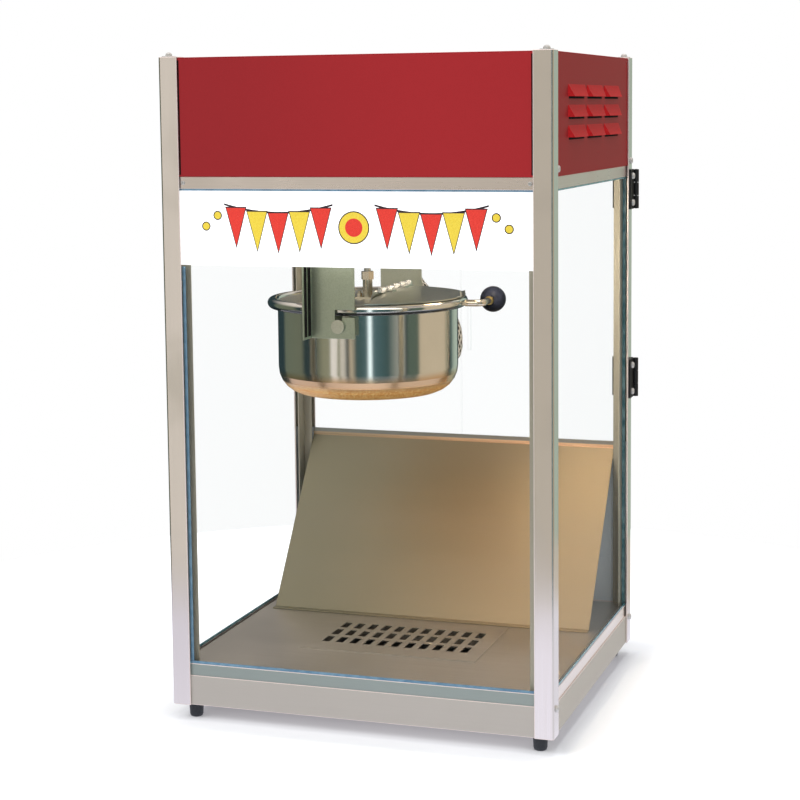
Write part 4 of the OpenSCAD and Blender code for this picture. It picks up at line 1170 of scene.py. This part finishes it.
def beside(side, face):
    """Places on the left (-1) or right (1) side of the cabinet, where its surface is at face."""
    return lambda a, b, depth: (side * (face * MM + depth), a + CABINET_Y, b)


def bead(name, low, high, spot, material):
    outlines_piece("bead_" + name, [box_outline(low, high)], BEAD, spot, material)


# Painted shade: a dark strip below each louvre.
for side, word in SIDES:
    shade_strips = [box_outline((y - SHADE_STRIP_HALF, z + SHADE_STRIP_LOW), (y + SHADE_STRIP_HALF, z + SHADE_STRIP_HIGH))
             for y in LOUVRES_Y for z in LOUVRES_Z]
    outlines_piece("louvre_slots_" + word, shade_strips, (0, PROUD), beside(side, PANEL_X), shadow_gap)
    bead("low_" + word, (-188, 66.6), (188, 69.4), beside(side, GLASS_X), bead_teal)
    bead("high_" + word, (-188, 605.6), (188, 607.4), beside(side, GLASS_X), bead_teal)

by_front_glass = before("glass_front")
bead("low_front", (-218, 66.6), (218, 69.6), by_front_glass, bead_blue)
bead("high_front", (-218, 605.6), (218, 607.4), by_front_glass, bead_blue)
bead("upright_front", (-202, 69.8), (-198.5, 521), by_front_glass, bead_blue)

# Painted shade: dark lines where the dome's front meets the posts, and on the hanger's flange.
for side, word in SIDES:
    shade_line = box_outline((side * SHADE_LINE_X - SHADE_LINE_HALF, SHADE_LINE_LOW), (side * SHADE_LINE_X + SHADE_LINE_HALF, SHADE_LINE_HIGH))
    outlines_piece("dome_gap_" + word, [shade_line], (0, PROUD), before("dome_front"), shadow_gap)
for name, spans in HANGER_SHADES.items():
    hanger_shades = [box_outline((low, HANGER_SHADE_LOW), (high, HANGER_SHADE_HIGH)) for low, high in spans]
    outlines_piece("hanger_grooves_" + name, hanger_shades, (0, PROUD), beside(1, HANGER_X), shadow_gap)
print("slots and beads made")

# %% [markdown]
# ## Marks on the rockers
# A rocker switch carries a bar for on and a ring for off. Its two faces slope, and they tip with
# the switch, so the marks ride on the rocker's own body. Each mark lies on axes of its own: the
# middle of the face, the face's normal, and the way up along it.

# %% Rocker marks
ROCKER_Z = 687 * MM
BAR = (0.5 * MM, 2.2 * MM)
RING_OUT, RING_IN = 2.2 * MM, 1.4 * MM
LEVEL = Vector((1, 0, 0))


def spot_on(faces):
    """Places on a group of faces, counted from their middle."""
    area = sum(f.area for f in faces)
    middle = sum((f.center * f.area for f in faces), Vector()) / area
    normal = sum((f.normal * f.area for f in faces), Vector()).normalized()
    rise = LEVEL.cross(normal)
    return lambda a, b, depth: middle + LEVEL * a + rise * b + normal * depth


def bar_mark(work, spot):
    prism(work, box_outline((-BAR[0], -BAR[1]), BAR), (0, PROUD * MM), spot)


def ring_mark(work, spot):
    corners = ((RING_OUT, 0), (RING_OUT, PROUD * MM), (RING_IN, PROUD * MM), (RING_IN, 0))
    loops = [[work.verts.new(spot(a, b, depth)) for a, b in disc(0, 0, radius)]
             for radius, depth in corners]
    for low, high in zip(loops, loops[1:] + loops[:1]):
        join_loops(work, low, high)


for name in ("rocker_light", "rocker_motor", "rocker_kettle"):
    outer = [f for f in nodes[name].data.polygons if f.normal.y > 0.9]
    for word, half, mark in (("on", 1, bar_mark), ("off", -1, ring_mark)):
        spot = spot_on([f for f in outer if (f.center.z - ROCKER_Z) * half > 0])
        solid_piece(f"mark_{word}_{name}", lambda work: mark(work, spot), mark_paint,
                    body_of_node[name], slot_of_node["sign_panel"])
print("rockers marked")

# %% [markdown]
# ## The studio
# A product picture is lit with a large soft lamp and a white sweep. The world is white to the eye
# and through glass. Polished metal has no colour of its own, only that of the room, so for
# reflections the world is a studio: warm flats, dark teal gaps between them and one narrow lamp.
# It turns with the compass, so it holds still when the camera moves.

# %% Studio world
world = bpy.data.worlds.new("studio")
bpy.context.scene.world = world
sky = Recipe(world)
aim = sky.node("ShaderNodeTexCoord", out="Generated")
aim_x, aim_y, aim_z = (sky.node("ShaderNodeSeparateXYZ", None, {0: aim}, axis) for axis in "XYZ")
compass = aim_x.math("ARCTAN2", 0 - aim_y) / 360 * (180 / math.pi) + 0.5

# Directions in degrees from straight in front of the machine, to the right, with their colours
TEAL, DEEP, DRAB = (64, 88, 88), (42, 58, 62), (146, 144, 120)
SAND, LAMP = (208, 190, 164), (285, 302, 308)
FLATS = [
    (-148, DEEP), (-118, (44, 62, 66)), (-110, (108, 116, 100)), (-76, (112, 116, 98)),
    (-68, DEEP), (-54, (60, 70, 66)), (-40, DRAB), (-31, DRAB),
    (-28, (246, 238, 231)), (-21.5, (240, 231, 223)), (-19.5, DRAB), (-17.5, DRAB),
    (-16, (218, 209, 197)), (-11.5, (216, 207, 195)), (-7, DEEP), (-2, SAND),
    (4, TEAL), (18, (72, 100, 104)), (20, LAMP), (22.5, LAMP),
    (25, (80, 110, 116)), (44, TEAL), (64, (190, 188, 176)), (68, DEEP),
    (72, (92, 106, 94)), (85, (88, 102, 90)), (89, SAND), (132, SAND),
    (140, (150, 146, 122)), (151, TEAL), (160, (176, 190, 176)), (173, (178, 192, 178)),
]
stops = [(angle / 360 + 0.5, tint(*colour)) for angle, colour in FLATS]
room = sky.node("ShaderNodeValToRGB", {"stops": stops}, {0: compass})
canopy = sky.blend(aim_z.between(0.20, 0.70), room, tint(244, 232, 224))
white, fill = tint(255, 255, 255), (0.64, 0.64, 0.65, 1.0)
seen = sky.node("ShaderNodeLightPath", out="Is Camera Ray")
through = sky.node("ShaderNodeLightPath", out="Is Transmission Ray")
mirrored = sky.node("ShaderNodeLightPath", out="Is Glossy Ray")
lighting = sky.blend(mirrored, fill, canopy)
shown = sky.blend((seen + through).math("MINIMUM", 1.0), lighting, white)
backdrop = sky.node("ShaderNodeBackground", None, {"Color": shown, "Strength": 1.0})
sky.node("ShaderNodeOutputWorld", None, {"Surface": backdrop})
print("world has", len(FLATS), "flats")

# %% [markdown]
# ## Lamps
# The key light comes from the front left and above, a weak fill from the right opens its shadows,
# and a wide lamp overhead lays the soft shadow below the base. Polished metal already mirrors the
# painted room, so the lamps are hidden from reflections and only shed light.

# %% Lamps
AIM = (0, 0, 0.4)


def soft_lamp(name, place, size, watts):
    lamp = bpy.data.objects.new(name, bpy.data.lights.new(name, "AREA"))
    lamp.data.shape = "RECTANGLE"
    lamp.data.size, lamp.data.size_y = size, size
    lamp.data.energy = watts
    lamp.location = place
    lamp.rotation_euler = (Vector(AIM) - Vector(place)).to_track_quat("-Z", "Y").to_euler()
    lamp.visible_glossy = False
    collection.objects.link(lamp)


soft_lamp("key", (-1.7, -2.0, 2.3), 1.4, 46)
soft_lamp("fill", (1.9, -1.2, 1.5), 1.6, 3)
soft_lamp("overhead", (0.15, 0.0, 2.6), 1.2, 28)

glow = bpy.data.objects.new("bulb_light", bpy.data.lights.new("bulb_light", "POINT"))
glow.data.energy = 2.2
glow.data.color = (1.0, 0.86, 0.70)
glow.data.shadow_soft_size = 0.03
glow.location = (105 * MM, CABINET_Y, 500 * MM)
glow.visible_glossy = False
collection.objects.link(glow)
print("lamps lit")

# %% [markdown]
# ## The floor
# The machine stands on white paper that runs into the white backdrop. The paper is a disc, and a
# glow of its own lifts it to white further out, so that no rim shows. Near the base the glow is
# held back, and under it there is almost none, so that the soft shadow there stays. What metal
# mirrors is not that white, but an even pale sheet with a warmer table in front of and behind it.

# %% Paper
PAPER = 0.9
BLACK, FULL, OUTER = (0, 0, 0, 1), (1, 1, 1, 1), (0.6, 0.6, 0.6, 1)
SHADOW, OUTSIDE, BEYOND = 0.01, 0.19, 0.22


def paper_glow(r):
    """How far the paper is lifted towards white: dark under the base, bright far off."""
    half_x, half_y = r.place("X").math("ABSOLUTE"), r.place("Y").math("ABSOLUTE")
    outside = half_x.between(0.218, 0.240).math("MAXIMUM", half_y.between(0.155, 0.220))
    beyond = (half_x - 0.222).math("MAXIMUM", half_y - 0.213).between(0.015, 0.07)
    near = r.blend(SHADOW + OUTSIDE * outside + BEYOND * beyond, BLACK, FULL)
    reach = r.node("ShaderNodeVectorMath", {"operation": "LENGTH"}, {0: r.place()}, out="Value")
    return r.blend(reach.between(0.30 * PAPER, 0.54 * PAPER), near, OUTER)


def mirrored_floor(r):
    """The sheet and the table as polished metal shows them."""
    across = r.place("X").between(-0.45, 0.10)
    sheet = r.blend(across, (0.82, 0.80, 0.92, 1), (1.02, 1.00, 1.14, 1))
    sheet = r.blend(r.place("X").between(0.22, 0.26), sheet, (0.82, 0.81, 0.89, 1))
    table = r.blend(across, (0.80, 0.73, 0.66, 1), (0.62, 0.56, 0.48, 1))
    depth = r.place("Y")
    on_sheet = (depth + across * 0.07).between(-0.76, -0.72) - depth.between(0.32, 0.52)
    return r.blend(on_sheet, table, sheet)


def sweep_paper(r):
    """White paper that fades into the white backdrop, and that metal shows as a pale sheet."""
    tooth = r.blend(r.noise((12, 12, 12)), tint(224, 226, 229), tint(228, 230, 233))
    eye = r.node("ShaderNodeLightPath", out="Is Camera Ray")
    mirror = r.node("ShaderNodeLightPath", out="Is Glossy Ray")
    lift = r.blend(eye, BLACK, paper_glow(r))
    return {"Base Color": r.blend(mirror, tooth, BLACK),
            "Emission Color": r.blend(mirror, lift, mirrored_floor(r))}


paper = finish_of("paper", sweep_paper, Roughness=0.9, **{"Emission Strength": 1.0, **DULLER})
print("paper made")

# %% [markdown]
# ## Laying the paper
# The disc is one face with 72 corners.

# %% Floor
work = bmesh.new()
work.faces.new([work.verts.new((x, y, 0)) for x, y in disc(0, 0, PAPER, 72)])
floor_mesh = bpy.data.meshes.new("floor")
work.to_mesh(floor_mesh)
work.free()
floor_mesh.materials.append(paper)
floor = bpy.data.objects.new("floor", floor_mesh)
collection.objects.link(floor)
print("floor laid")
